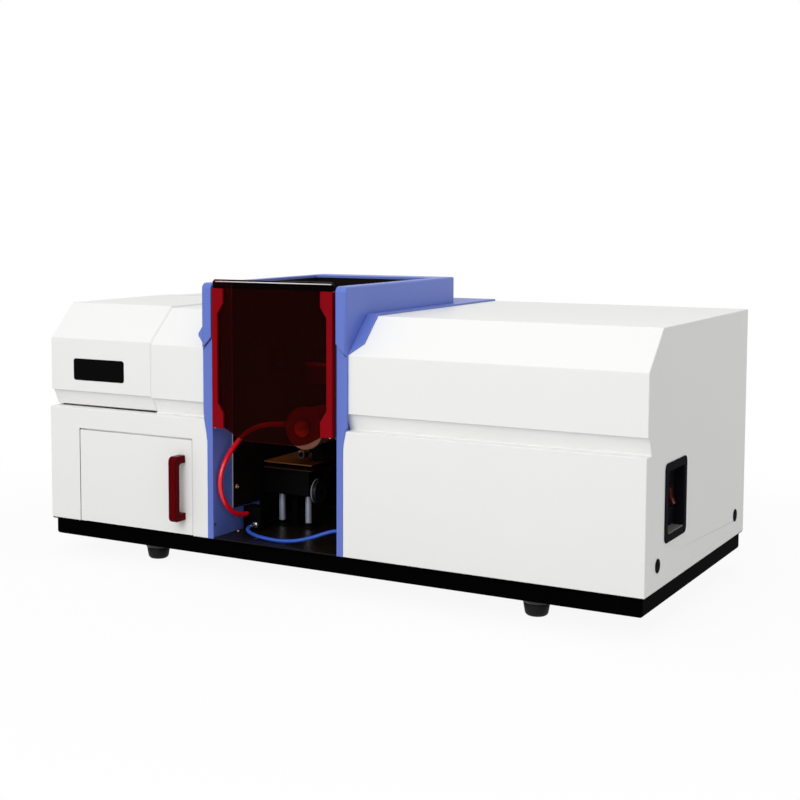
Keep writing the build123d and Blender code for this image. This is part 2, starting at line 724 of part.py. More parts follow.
# Nebuliser: a turned metal body with a clamping nut on the spray chamber's front
nebuliser_radius = 9.0
nebuliser_length = 12.0
nut_radius = 13.0
nut_length = 8.0
nipple_radius = 3.0
nipple_length = 8.0
flange_face = chamber_front - end_flange
nebuliser = rod_y(chamber_x, chamber_z, flange_face - nebuliser_length, flange_face, nebuliser_radius)
nebuliser += rod_y(chamber_x, chamber_z, flange_face - nut_length, flange_face, nut_radius)
nebuliser += rod_y(chamber_x, chamber_z, flange_face - nebuliser_length - nipple_length, flange_face,
                   nipple_radius)
save("nebuliser", nebuliser)

# Burner head: a titanium block with a long slot, turning on the spray chamber's spigot
head_end_room = 61.0
head_half_width = 12.0
head_edge = 3.0
flame_slot = 0.8
flame_slot_margin = 5.0
flame_slot_depth = 20.0
socket_radius = 15.0
head_half_length = chamber_width / 2 - head_end_room
burner_head = block(burner_across - head_half_length, burner_across + head_half_length,
                    beam_depth - head_half_width, beam_depth + head_half_width, head_bottom, head_top)
burner_head = chamfer(burner_head.edges().filter_by(Axis.X).group_by(Axis.Z)[-1], head_edge)
burner_head += rod_z(burner_across, beam_depth, neck_top + near_gap, head_bottom, socket_radius)
burner_head -= rod_z(burner_across, beam_depth, neck_top, spigot_top + near_gap, spigot_radius + shaft_gap)
burner_head -= block(burner_across - head_half_length + flame_slot_margin,
                     burner_across + head_half_length - flame_slot_margin, beam_depth - flame_slot / 2,
                     beam_depth + flame_slot / 2, head_top - flame_slot_depth, head_top + cut_over)
save("burner_head", burner_head)

# Hoses: a red fuel hose from the spray chamber to the manifold, and a blue air hose along the floor.
# Their points are measured from the chamber's left wall.
fuel_diameter = 8.0
air_diameter = 6.0
fuel_points = [(59.5, 110.0, 171.8), (48.3, 104.5, 171.8), (35.7, 96.0, 170.9), (25.9, 84.0, 167.7),
               (19.6, 69.0, 162.5), (15.2, 54.0, 153.0), (11.8, 40.0, 140.6), (9.6, 25.5, 127.0),
               (8.0, 13.5, 110.5), (7.4, 7.5, 91.0), (7.8, 10.0, 71.0), (9.5, 20.0, 52.5),
               (12.0, 35.0, 38.5), (14.7, 52.0, 29.2), (15.0, 74.0, 28.5)]
air_points = [(30.0, 58.0, 12.0), (30.3, 47.5, 11.5), (38.5, 39.0, 9.6), (56.0, 32.0, 7.2),
              (82.0, 26.5, 5.9), (110.0, 23.5, 5.6), (137.0, 25.0, 9.0), (163.0, 29.5, 16.5),
              (185.0, 33.5, 25.0), (201.0, 35.6, 29.4), (213.9, 36.0, 30.0)]
air_end_gap = 8.1
run_share = 0.45
fuel_low = fuel_points[-1][2]
fuel_stretch = (chamber_z + port_rise - fuel_low) / (fuel_points[0][2] - fuel_low)
fuel_route = [(chamber_left + x, y, fuel_low + (z - fuel_low) * fuel_stretch) for x, y, z in fuel_points]
air_start = air_points[0][0]
air_stretch = (chamber_width - air_end_gap - air_start) / (air_points[-1][0] - air_start)
air_route = [(chamber_left + air_start + (x - air_start) * air_stretch, y, z) for x, y, z in air_points]


def hose(name, route, diameter):
    """A round tube along straight runs joined by the largest arcs that the runs allow."""
    points = [Vector(*point) for point in route]
    radii = []
    for before, corner, after in zip(points, points[1:], points[2:]):
        turn = math.radians((corner - before).get_angle(after - corner))
        radii.append(run_share * min((corner - before).length, (after - corner).length) / math.tan(turn / 2))
    path = FilletPolyline(*points, radius=radii)
    start = Plane(origin=path @ 0, z_dir=path % 0)
    tube = sweep(start * Circle(diameter / 2), path=path)
    expected = math.pi * diameter * diameter / 4 * path.length
    print(name, "length", round(path.length, 1), "volume ratio", round(tube.volume / expected, 4),
          "radii", [round(radius, 1) for radius in radii])
    return tube


save("fuel_hose", hose("fuel_hose", fuel_route, fuel_diameter))
save("air_hose", hose("air_hose", air_route, air_diameter))

# Hose manifold: a black block on the chamber floor with chrome nipples, and a nipple on the right wall
manifold_wall_gap = 6.0
manifold_width = 32.0
manifold_front = 76.0
manifold_back = 100.0
manifold_top = 40.0
manifold_edge = 2.0
elbow_nut = 4.0
fuel_nut = 1.5
nut_grow_share = 1.6
manifold_left = chamber_left + manifold_wall_gap
manifold_right = manifold_left + manifold_width
hose_manifold = block(manifold_left, manifold_right, manifold_front, manifold_back, floor_sheet, manifold_top)
hose_manifold = fillet(hose_manifold.edges().group_by(Axis.Z)[-1], manifold_edge)
hose_nipples = []
for route_end, diameter, nut in ((fuel_route[-1], fuel_diameter, fuel_nut), (air_route[0], air_diameter, elbow_nut)):
    nipple_x, nipple_y, nipple_z = route_end
    nipple = rod_y(nipple_x, nipple_z, nipple_y + near_gap, manifold_front, diameter / 2)
    nipple += rod_y(nipple_x, nipple_z, manifold_front - nut, manifold_front, nut_grow_share * diameter / 2)
    hose_nipples.append(nipple)
nipple_x, nipple_y, nipple_z = air_route[-1]
nipple = rod_x(nipple_y, nipple_z, nipple_x + near_gap, chamber_right, air_diameter / 2)
nipple += rod_x(nipple_y, nipple_z, chamber_right - elbow_nut, chamber_right, nut_grow_share * air_diameter / 2)
hose_nipples.append(nipple)
save("hose_manifold", hose_manifold, *hose_nipples)

# Lamp lid: a white shell over the lamp bay that swings up on a piano hinge at its back
lid_flange = 12.0
lid_wall = 2.0
lid_left = -half_width
lid_back = lid_hinge_setback - lid_rear_gap
lid_bottom = ledge_height + lid_rise
lid_top = cover_height + lid_rise
lid_outline = [(groove_depth, lid_bottom), (upper_setback + brow_step, brow_height + lid_rise),
               (upper_setback, brow_height + lid_rise), (upper_setback, slope_start + lid_rise),
               (slope_depth, lid_top), (lid_back, lid_top), (lid_back, lid_bottom)]
lean = (groove_depth - upper_setback - brow_step) / (brow_height - ledge_height)


def lid_core(inset, x0, x1):
    """The space inside the lid's outline, open below and behind."""
    low = lid_bottom - inset - cut_over
    back = lid_back + inset + cut_over
    points = [(groove_depth + lean * (lid_bottom - low), low)] + lid_outline[1:5]
    points += [(back, lid_top), (back, low)]
    face = offset(Polygon(*points, align=None), amount=-inset, kind=Kind.INTERSECTION)
    return side_prism(face, x0, x1)


window_left_inset = 48.0
window_right_inset = 54.0
window_bottom_share = 7 / 29
window_top_share = 56 / 87
window_left = lid_left + window_left_inset
window_right = lid_inner_edge - window_right_inset
window_bottom = brow_height + window_bottom_share * (slope_start - brow_height)
window_top = brow_height + window_top_share * (slope_start - brow_height)
window_corner = 4.0
window_plate = 3.0
window_proud = 0.2
lamp_lid = side_prism(lid_outline, lid_left, lid_inner_edge)
lamp_lid -= lid_core(lid_wall, lid_left + lid_wall, lid_inner_edge - lid_wall)
lamp_lid -= lid_core(lid_wall + lid_flange, lid_left + lid_wall, lid_inner_edge + cut_over)
lamp_lid -= front_prism(rounded_front(window_left - near_gap, window_right + near_gap, window_bottom - near_gap,
                                      window_top + near_gap, window_corner + near_gap),
                        -cut_over, upper_setback + lid_wall + cut_over)
save("lamp_lid", lamp_lid)
window_front = upper_setback - window_proud
display_window = front_prism(rounded_front(window_left, window_right, window_bottom, window_top, window_corner),
                             window_front, window_front + window_plate)
save("display_window", display_window)

# Piano hinge: rolled knuckles on a pin, turn and turn about on the cover's leaf and on the lid's leaf
knuckle_radius = 3.0
hinge_pin_radius = 1.2
hinge_z = lid_top - knuckle_radius
leaf_thickness = 1.2
leaf_width = 20.0
knuckle_count = 9
knuckle_gap = 0.4
hinge_start = lid_left + hinge_end_gap
hinge_end = lid_inner_edge - hinge_end_gap
knuckle_length = (hinge_end - hinge_start) / knuckle_count
leaf_gap = 0.6
fixed_leaf_top = cover_height - sheet
moving_leaf_top = lid_top - lid_wall
fixed_leaf = block(hinge_start, hinge_end, lid_hinge_setback + knuckle_radius + leaf_gap,
                   lid_hinge_setback + leaf_width, fixed_leaf_top - leaf_thickness, fixed_leaf_top)
moving_leaf = block(hinge_start, hinge_end, lid_hinge_setback - leaf_width, lid_back,
                    moving_leaf_top - leaf_thickness, moving_leaf_top)
pin_bore = rod_x(lid_hinge_setback, hinge_z, hinge_start - cut_over, hinge_end + cut_over,
                 hinge_pin_radius + shaft_gap)
for knuckle in range(knuckle_count):
    start = hinge_start + knuckle * knuckle_length + knuckle_gap / 2
    end = start + knuckle_length - knuckle_gap
    barrel = rod_x(lid_hinge_setback, hinge_z, start, end, knuckle_radius)
    if knuckle % 2 == 0:
        fixed_leaf += barrel
        fixed_leaf += block(start, end, lid_hinge_setback, lid_hinge_setback + leaf_width,
                            fixed_leaf_top - leaf_thickness, fixed_leaf_top)
    else:
        moving_leaf += barrel
        moving_leaf += block(start, end, lid_hinge_setback - leaf_width, lid_hinge_setback,
                             moving_leaf_top - leaf_thickness, moving_leaf_top)
hinge_pin = rod_x(lid_hinge_setback, hinge_z, hinge_start, hinge_end, hinge_pin_radius)
save("hinge_fixed_leaf", fixed_leaf - pin_bore, hinge_pin)
save("hinge_lid_leaf", moving_leaf - pin_bore)

# Front door: a folded white tray on two pins, with a red handle
door_depth = 12.0
door_wall = 2.0
door_top_gap = 2.0
door_bottom_gap = 1.0
door_corner = 2.0
door_hinge_inset = 3.5
door_hinge_depth = 3.8
door_pin_radius = 1.5
panel_left = door_left + seam_gap
panel_right = door_right - seam_gap
panel_top = door_opening_top - door_top_gap
hinge_x = panel_left + door_hinge_inset
left_door = block(panel_left, panel_right, 0, door_depth, door_bottom_gap, panel_top)
left_door = fillet(left_door.edges().filter_by(Axis.Z).group_by(Axis.Y)[0], door_corner)
left_door -= block(panel_left + door_wall, panel_right - door_wall, door_wall, door_depth + cut_over,
                   door_bottom_gap + door_wall, panel_top - door_wall)
eye_half = door_hinge_inset + door_pin_radius
eye = block(panel_left + door_wall, hinge_x + eye_half, door_wall, door_depth, 0, door_wall)
left_door += Pos(0, 0, door_bottom_gap + door_wall) * eye
left_door += Pos(0, 0, panel_top - 2 * door_wall) * eye
left_door -= rod_z(hinge_x, door_hinge_depth, -cut_over, panel_top + cut_over, door_pin_radius + shaft_gap)
save("left_door", left_door)

pin_reach = 3.2
bracket_height = 4.0
bracket_depth = 10.0
bracket_half = 7.0
top_bracket = block(hinge_x - bracket_half, hinge_x + bracket_half, sheet, sheet + bracket_depth,
                    door_opening_top, door_opening_top + bracket_height)
top_pin = rod_z(hinge_x, door_hinge_depth, panel_top - pin_reach, door_opening_top, door_pin_radius)
foot_plate = block(hinge_x - bracket_half, hinge_x + bracket_half, sheet, sheet + bracket_depth, 0,
                   door_bottom_gap - near_gap)
low_pin = rod_z(hinge_x, door_hinge_depth, 0, door_bottom_gap + pin_reach, door_pin_radius)
save("door_hinge_pins", top_bracket + top_pin, foot_plate + low_pin)

handle_inset = 26.3
handle_width = 14.0
handle_bottom = 24.0
handle_height = 104.0
handle_bar = 12.0
handle_outer_round = 8.0
handle_inner_round = 5.0
handle_edge = 2.5
handle_left = panel_right - handle_inset
handle_right = handle_left + handle_width
handle_top = handle_bottom + handle_height
door_handle = block(handle_left, handle_right, -handle_reach, 0, handle_bottom, handle_top)
door_handle = fillet(door_handle.edges().filter_by(Axis.X).group_by(Axis.Y)[0], handle_outer_round)
gap = block(handle_left - cut_over, handle_right + cut_over, handle_bar - handle_reach, cut_over,
            handle_bottom + handle_bar, handle_top - handle_bar)
gap = fillet(gap.edges().filter_by(Axis.X).group_by(Axis.Y)[0], handle_inner_round)
door_handle -= gap
long_edges = door_handle.edges().filter_by(Axis.Z).group_by(Axis.Y)[0]
door_handle = fillet(long_edges, handle_edge)
save("door_handle", door_handle)

# Power switch: a moulded cup in the right end, and a red rocker on two stub pivots in a black frame
switch_front = 133.0
switch_back = 153.0
switch_bottom = 94.0
switch_top = 130.0
switch_lip = 2.0
switch_lip_proud = 2.5
switch_wall = 2.0
switch_body = 15.0
rocker_side_gap = 0.4
rocker_tilt = 14.0
rocker_pivot_back = 3.0
rocker_half = 11.7
rocker_nose = 8.8
rocker_dip = 7.2
rocker_root = 2.0
rocker_heel = 6.0
rocker_heel_half = 5.0
stub_radius = 1.5
stub_reach = 1.2
pocket_floor = half_width - recess_pocket

end_plane = Plane.YZ.offset(half_width)
bezel_middle = Pos((recess_front + recess_back) / 2, (recess_bottom + recess_top) / 2)
bezel = extrude(end_plane * bezel_middle * RectangleRounded(recess_back - recess_front,
                recess_top - recess_bottom, recess_corner), amount=end_proud, dir=along_x)
recess_cup = bezel + block(pocket_floor - cup_wall, half_width, pocket_front - cup_wall, pocket_back + cup_wall,
                           pocket_bottom - cup_wall, pocket_top + cup_wall)
pocket_shape = bezel_middle * RectangleRounded(pocket_back - pocket_front, pocket_top - pocket_bottom, pocket_corner)
recess_cup -= extrude(Plane.YZ.offset(pocket_floor) * pocket_shape, amount=recess_pocket + end_proud + cut_over,
                      dir=along_x)
recess_cup -= block(pocket_floor - cup_wall - cut_over, pocket_floor + cut_over,
                    switch_front + switch_lip - near_gap, switch_back - switch_lip + near_gap,
                    switch_bottom + switch_lip - near_gap, switch_top - switch_lip + near_gap)
save("recess_cup", recess_cup)

well_front = switch_front + switch_lip + switch_wall
well_back = switch_back - switch_lip - switch_wall
well_bottom = switch_bottom + switch_lip + switch_wall
well_top = switch_top - switch_lip - switch_wall
pivot_x = pocket_floor - rocker_pivot_back
pivot_z = (well_bottom + well_top) / 2
switch_frame = block(pocket_floor, pocket_floor + switch_lip_proud, switch_front, switch_back, switch_bottom,
                     switch_top)
switch_frame += block(pocket_floor - switch_body, pocket_floor, switch_front + switch_lip,
                      switch_back - switch_lip, switch_bottom + switch_lip, switch_top - switch_lip)
switch_frame -= block(pocket_floor - switch_body + switch_wall, pocket_floor + cut_over, well_front, well_back,
                      well_bottom, well_top)
switch_frame -= rod_y(pivot_x, pivot_z, well_front - stub_reach - near_gap, well_back + stub_reach + near_gap,
                      stub_radius + shaft_gap)
save("switch_frame", switch_frame)

rocker_outline = [(rocker_nose, -rocker_half), (rocker_dip, 0), (rocker_nose, rocker_half),
                  (-rocker_root, rocker_half), (-rocker_heel, rocker_heel_half),
                  (-rocker_heel, -rocker_heel_half), (-rocker_root, -rocker_half)]
rocker = front_prism(rocker_outline, well_front + rocker_side_gap, well_back - rocker_side_gap)
rocker += rod_y(0, 0, well_front - stub_reach, well_back + stub_reach, stub_radius)
save("switch_rocker", Pos(pivot_x, 0, pivot_z) * Rot(0, -rocker_tilt, 0) * rocker)

# Back of the right housing: mains inlet, and a fan with its frame, rotor and guard
inlet_depth = 20.0
inlet_flange = 3.0
inlet_ear = 11.0
inlet_rim = 2.0
socket_wall = 1.8
socket_depth = 15.0
prong_width = 2.0
prong_height = 4.0
prong_pitch = 7.0
prong_drop = 2.0
mains_inlet = block(inlet_x - inlet_half_width, inlet_x + inlet_half_width, body_depth - inlet_depth, body_depth,
                    inlet_z - inlet_half_height, inlet_z + inlet_half_height)
mains_inlet += block(inlet_x - inlet_half_width - inlet_ear, inlet_x + inlet_half_width + inlet_ear, body_depth,
                     body_depth + inlet_flange, inlet_z - inlet_half_height - inlet_rim,
                     inlet_z + inlet_half_height + inlet_rim)
socket_floor = body_depth + inlet_flange - socket_depth
mains_inlet -= block(inlet_x - inlet_half_width + socket_wall, inlet_x + inlet_half_width - socket_wall,
                     socket_floor, body_depth + inlet_flange + cut_over,
                     inlet_z - inlet_half_height + socket_wall, inlet_z + inlet_half_height - socket_wall)
for prong_shift, prong_rise in ((-prong_pitch, -prong_drop), (0, prong_drop), (prong_pitch, -prong_drop)):
    mains_inlet += block(inlet_x + prong_shift - prong_width / 2, inlet_x + prong_shift + prong_width / 2,
                         socket_floor, body_depth, inlet_z + prong_rise - prong_height / 2,
                         inlet_z + prong_rise + prong_height / 2)
save("mains_inlet", mains_inlet)

fan_half = 40.0
fan_depth = 25.0
spider = 3.0
spider_arms = 4
spider_radius = 14.0
fan_pin_radius = 3.0
fan_pin_end = 6.0
rotor_gap = 1.0
hub_radius = 15.0
blade_count = 7
blade_tip_gap = 2.0
blade_thickness = 1.6
blade_chord = 17.0
blade_pitch = 35.0
guard_thickness = 2.0
guard_wire = 2.0
guard_rings = 4
cover_inner_back = body_depth - sheet
fan_front = cover_inner_back - fan_depth
fan_frame = block(fan_x - fan_half, fan_x + fan_half, fan_front, cover_inner_back, fan_z - fan_half,
                  fan_z + fan_half)
fan_frame -= rod_y(fan_x, fan_z, fan_front - cut_over, cover_inner_back + cut_over, fan_bore)
fan_frame += rod_y(fan_x, fan_z, fan_front, fan_front + spider, spider_radius)
for arm in range(spider_arms):
    spoke = block(0, fan_bore + rotor_gap, 0, spider, -spider / 2, spider / 2)
    fan_frame += Pos(fan_x, fan_front, fan_z) * Rot(0, 45 + 360 * arm / spider_arms, 0) * spoke
fan_frame += rod_y(fan_x, fan_z, fan_front + spider, cover_inner_back - fan_pin_end, fan_pin_radius)
save("fan_frame", fan_frame)

rotor_front = fan_front + spider + rotor_gap
rotor_back = cover_inner_back - rotor_gap
blade_middle = (rotor_front + rotor_back) / 2
fan_rotor = rod_y(fan_x, fan_z, rotor_front, rotor_back, hub_radius)
for blade in range(blade_count):
    vane = Pos((hub_radius + fan_bore - blade_tip_gap) / 2 - blade_thickness / 2, 0, 0)
    vane *= Rot(blade_pitch, 0, 0) * Box(fan_bore - blade_tip_gap - hub_radius + blade_thickness, blade_chord,
                                         blade_thickness)
    fan_rotor += Pos(fan_x, blade_middle, fan_z) * Rot(0, 360 * blade / blade_count, 0) * vane
fan_rotor -= rod_y(fan_x, fan_z, rotor_front - cut_over, cover_inner_back - fan_pin_end + near_gap,
                   fan_pin_radius + shaft_gap)
save("fan_rotor", fan_rotor)

guard_back = body_depth + guard_thickness
ring_step = (fan_half - guard_wire) / guard_rings
fan_guard = rod_y(fan_x, fan_z, body_depth, guard_back, ring_step / 2)
for ring in range(1, guard_rings + 1):
    outer_radius = ring * ring_step + guard_wire / 2
    band = rod_y(fan_x, fan_z, body_depth, guard_back, outer_radius)
    fan_guard += band - rod_y(fan_x, fan_z, body_depth - cut_over, guard_back + cut_over,
                              outer_radius - guard_wire)
for arm in range(spider_arms):
    wire = block(0, guard_rings * ring_step, 0, guard_thickness, -guard_wire / 2, guard_wire / 2)
    fan_guard += Pos(fan_x, body_depth, fan_z) * Rot(0, 360 * arm / spider_arms, 0) * wire
save("fan_guard", fan_guard)

# Back of the left housing: brass gas inlets with plain hose tails
gas_nut_radius = 9.0
gas_nut = 5.0
gas_tail_radius = 4.0
gas_bore = 2.5
gas_stem = 20.0
gas_tail_end = body_depth + rear_reach
gas_inlets = []
for gas_x in gas_inlet_places:
    inlet = rod_y(gas_x, gas_inlet_height, body_depth - gas_stem, body_depth, gas_stem_radius)
    inlet += rod_y(gas_x, gas_inlet_height, body_depth, body_depth + gas_nut, gas_nut_radius)
    inlet += rod_y(gas_x, gas_inlet_height, body_depth + gas_nut, gas_tail_end, gas_tail_radius)
    inlet -= rod_y(gas_x, gas_inlet_height, body_depth - gas_stem - cut_over, gas_tail_end + cut_over, gas_bore)
    gas_inlets.append(inlet)
save("gas_inlets", *gas_inlets)

# Lamp bay: a folded shelf on four legs, with a wall beside the lid's inner edge
bay_drop = 99.0
bay_floor_top = beam_height - bay_drop
bay_clear = 3.0
bay_end_gap = 3.0
bay_wall_gap = 5.0
leg_size = 10.0
leg_front = 36.0
leg_rear_inset = 50.0
leg_back = body_depth - leg_rear_inset
bay_left = -half_width + sheet + bay_end_gap
bay_right = lid_inner_edge - bay_wall_gap + sheet
bay_wall = cover_core(sheet + bay_clear, bay_right - sheet, bay_right)
bay_wall &= block(bay_right - sheet, bay_right, 0, body_depth, bay_floor_top, cover_height)
bay_wall -= rod_x(beam_depth, beam_height, bay_right - sheet - cut_over, bay_right + cut_over,
                  tube_radius + tube_wall)
bay_front = groove_depth + bay_clear
lamp_bay = bay_wall + block(bay_left, bay_right, bay_front, body_depth - sheet - bay_clear,
                            bay_floor_top - sheet, bay_floor_top)
for leg_x in (bay_left, bay_right - leg_size):
    for leg_y in (leg_front, leg_back):
        lamp_bay += block(leg_x, leg_x + leg_size, leg_y, leg_y + leg_size, 0, bay_floor_top - sheet)
save("lamp_bay", lamp_bay)

# Lamp turret: six hollow-cathode lamps in a geared wheel on a cradle, turned by a stepping motor
lamp_count = 6
lamp_circle = 52.0
turret_angle = -7.0
lamp_radius = 18.5
lamp_start_inset = 22.0
lamp_end_gap = 26.0
lamp_start = lamp_start_inset - half_width
lamp_end = lid_inner_edge - lamp_end_gap
lamp_base_share = 11 / 79
lamp_base_radius = 17.0
turret_module = 1.5
turret_teeth = 100
turret_pinion_teeth = 32
lamp_length = lamp_end - lamp_start
lamp_base_length = lamp_base_share * lamp_length
turret_gear_share = 13 / 79
turret_gear_start = lamp_start + turret_gear_share * lamp_length
turret_gear_face = 8.0
front_ring_share = 25 / 79
front_ring_start = lamp_end - front_ring_share * lamp_length
front_ring_face = 6.0
front_ring_radius = 74.0
turret_shaft_radius = 6.0
cradle_plate = 5.0
cradle_half = 20.0
cradle_floor = 2.0
cradle_gap = 1.0
turret_y = beam_depth + lamp_circle * math.cos(math.radians(turret_angle))
turret_z = beam_height + lamp_circle * math.sin(math.radians(turret_angle))
cradle_back_x = lamp_start - cradle_gap - cradle_plate
cradle_front_x = lamp_end + cradle_gap
cradle_end_x = cradle_front_x + cradle_plate
turret_cradle = block(cradle_back_x, cradle_end_x, turret_y - cradle_half, turret_y + cradle_half,
                      bay_floor_top, bay_floor_top + cradle_floor)
for plate_x in (cradle_back_x, cradle_front_x):
    turret_cradle += block(plate_x, plate_x + cradle_plate, turret_y - cradle_half, turret_y + cradle_half,
                           bay_floor_top, turret_z)
    turret_cradle += rod_x(turret_y, turret_z, plate_x, plate_x + cradle_plate, cradle_half)
turret_cradle -= rod_x(turret_y, turret_z, cradle_back_x - cut_over, cradle_end_x + cut_over,
                       turret_shaft_radius + shaft_gap)


def gear_x(module, teeth, phase, x0, face, y, z):
    """A spur gear on an axle along X. The phase is measured from +Y towards +Z."""
    plane = Plane(origin=(x0, y, z), x_dir=along_y, z_dir=along_x)
    return extrude(plane * Polygon(*tooth_points(module, teeth, phase), align=None), amount=face, dir=along_x)


turret = gear_x(turret_module, turret_teeth, 0, turret_gear_start, turret_gear_face, turret_y, turret_z)
turret += rod_x(turret_y, turret_z, front_ring_start, front_ring_start + front_ring_face, front_ring_radius)
turret += rod_x(turret_y, turret_z, cradle_back_x, cradle_end_x, turret_shaft_radius)
lamps = []
for lamp in range(lamp_count):
    lamp_angle = math.radians(180 + turret_angle + 360 * lamp / lamp_count)
    lamp_y = turret_y + lamp_circle * math.cos(lamp_angle)
    lamp_z = turret_z + lamp_circle * math.sin(lamp_angle)
    turret -= rod_x(lamp_y, lamp_z, turret_gear_start - cut_over, front_ring_start + front_ring_face + cut_over,
                    lamp_radius + near_gap)
    tube = rod_x(lamp_y, lamp_z, lamp_start + lamp_base_length, lamp_end, lamp_radius)
    lamps.append(tube + rod_x(lamp_y, lamp_z, lamp_start, lamp_start + lamp_base_length, lamp_base_radius))
save("lamp_turret", turret)
save("hollow_cathode_lamps", *lamps)

pinion_radius = turret_module * turret_pinion_teeth / 2
turret_pinion_y = turret_y + turret_module * turret_teeth / 2 + pinion_radius
motor_half = 21.0
motor_length = 38.0
motor_boss_radius = 11.0
motor_boss = 2.0
motor_shaft_radius = 2.5
motor_gap = 4.0
motor_bracket = 3.0
motor_x = turret_gear_start + turret_gear_face + motor_gap
half_step = math.pi / turret_pinion_teeth
turret_pinion = gear_x(turret_module, turret_pinion_teeth, math.pi + half_step, turret_gear_start,
                       turret_gear_face, turret_pinion_y, turret_z)
turret_pinion -= rod_x(turret_pinion_y, turret_z, turret_gear_start - cut_over, motor_x,
                       motor_shaft_radius + shaft_gap)
save("turret_pinion", turret_pinion)

bracket_x = motor_x + motor_gap
turret_bracket = block(bracket_x - motor_bracket, bracket_x, turret_pinion_y - motor_half,
                       turret_pinion_y + motor_half, bay_floor_top, turret_z + motor_half)
turret_bracket -= rod_x(turret_pinion_y, turret_z, bracket_x - motor_bracket - cut_over, bracket_x + cut_over,
                        motor_boss_radius + near_gap)
turret_motor = block(bracket_x, bracket_x + motor_length, turret_pinion_y - motor_half,
                     turret_pinion_y + motor_half, turret_z - motor_half, turret_z + motor_half)
turret_motor += rod_x(turret_pinion_y, turret_z, bracket_x - motor_boss, bracket_x, motor_boss_radius)
turret_motor += rod_x(turret_pinion_y, turret_z, turret_gear_start, bracket_x, motor_shaft_radius)
save("turret_cradle", turret_cradle, turret_bracket)

# Monochromator: a case cast with its legs, with a lid, mirrors and a grating on a geared turntable
mono_column_gap = 37.5
mono_end_gap = 70.0
mono_left = waist_right + mono_column_gap
mono_right = half_width - mono_end_gap
mono_front = 110.0
mono_back = 380.0
mono_drop = 91.0
mono_bottom = beam_height - mono_drop
mono_wall = 6.0
mono_height = 125.0
mono_lid_thickness = 3.0
slit_radius = 8.0
mono_leg = 16.0
mono_leg_inset = 12.0
exit_depth = 322.0
mirror_radius = 30.0
mirror_thickness = 8.0
mirror_margin = 14.0
mirror_post = 10.0
mono_floor = mono_bottom + mono_wall
mono_top = mono_bottom + mono_height
mono_case = block(mono_left, mono_right, mono_front, mono_back, mono_bottom, mono_top)
mono_case -= block(mono_left + mono_wall, mono_right - mono_wall, mono_front + mono_wall, mono_back - mono_wall,
                   mono_floor, mono_top + cut_over)
for slit_y in (beam_depth, exit_depth):
    mono_case -= rod_x(slit_y, beam_height, mono_left - cut_over, mono_left + mono_wall + cut_over, slit_radius)
table_inset = 100.0
table_x = mono_left + table_inset
table_y = (beam_depth + exit_depth) / 2
scan_module = 1.0
table_teeth = 80
scan_teeth = 16
scan_x = table_x
scan_y = table_y + scan_module * (table_teeth + scan_teeth) / 2
table_shaft_radius = 5.0
mono_case -= rod_z(table_x, table_y, mono_bottom - cut_over, mono_floor + cut_over,
                   table_shaft_radius + shaft_gap)
mono_case -= rod_z(scan_x, scan_y, mono_bottom - cut_over, mono_floor + cut_over,
                   motor_boss_radius + near_gap)
for leg_x in (mono_left + mono_leg_inset, mono_right - mono_leg_inset - mono_leg):
    for leg_y in (mono_front + mono_leg_inset, mono_back - mono_leg_inset - mono_leg):
        mono_case += block(leg_x, leg_x + mono_leg, leg_y, leg_y + mono_leg, 0, mono_bottom)
save("mono_case", mono_case)
save("mono_lid", block(mono_left, mono_right, mono_front, mono_back, mono_top, mono_top + mono_lid_thickness))

mirror_face = mono_right - mono_wall - mirror_margin
mono_mirrors = []
for mirror_y in (beam_depth, exit_depth):
    mirror = rod_x(mirror_y, beam_height, mirror_face - mirror_thickness, mirror_face, mirror_radius)
    mirror += block(mirror_face - mirror_thickness, mirror_face, mirror_y - mirror_post, mirror_y + mirror_post,
                    mono_floor, beam_height)
    mono_mirrors.append(mirror)
save("mono_mirrors", *mono_mirrors)

table_gap = 1.0
table_gear_face = 6.0
table_disc = 4.0
table_disc_radius = 32.0
grating_half_width = 25.0
grating_half_depth = 5.0
grating_height = 50.0
gear_bottom = mono_floor + table_gap


def gear_z(module, teeth, phase, x, y, z0, face):
    """A spur gear on an upright axle. The phase is measured from +X towards +Y."""
    plane = Plane(origin=(x, y, z0))
    return extrude(plane * Polygon(*tooth_points(module, teeth, phase), align=None), amount=face, dir=along_z)


grating_table = gear_z(scan_module, table_teeth, math.pi / 2, table_x, table_y, gear_bottom, table_gear_face)
disc_bottom = gear_bottom + table_gear_face
grating_table += rod_z(table_x, table_y, disc_bottom, disc_bottom + table_disc, table_disc_radius)
grating_table += rod_z(table_x, table_y, mono_bottom, gear_bottom, table_shaft_radius)
grating_bottom = disc_bottom + table_disc
grating = block(table_x - grating_half_width, table_x + grating_half_width, table_y - grating_half_depth,
                table_y + grating_half_depth, grating_bottom, grating_bottom + grating_height)
save("grating_table", grating_table, grating)

scan_half_step = math.pi / scan_teeth
scan_pinion = gear_z(scan_module, scan_teeth, scan_half_step - math.pi / 2, scan_x, scan_y, gear_bottom,
                     table_gear_face)
scan_pinion -= rod_z(scan_x, scan_y, mono_bottom, disc_bottom + cut_over, motor_shaft_radius + shaft_gap)
save("scan_pinion", scan_pinion)
scan_motor = block(scan_x - motor_half, scan_x + motor_half, scan_y - motor_half, scan_y + motor_half,
                   mono_bottom - motor_length, mono_bottom)
scan_motor += rod_z(scan_x, scan_y, mono_bottom, mono_bottom + motor_boss, motor_boss_radius)
scan_motor += rod_z(scan_x, scan_y, mono_bottom, disc_bottom, motor_shaft_radius)
save("stepping_motors", turret_motor, scan_motor)

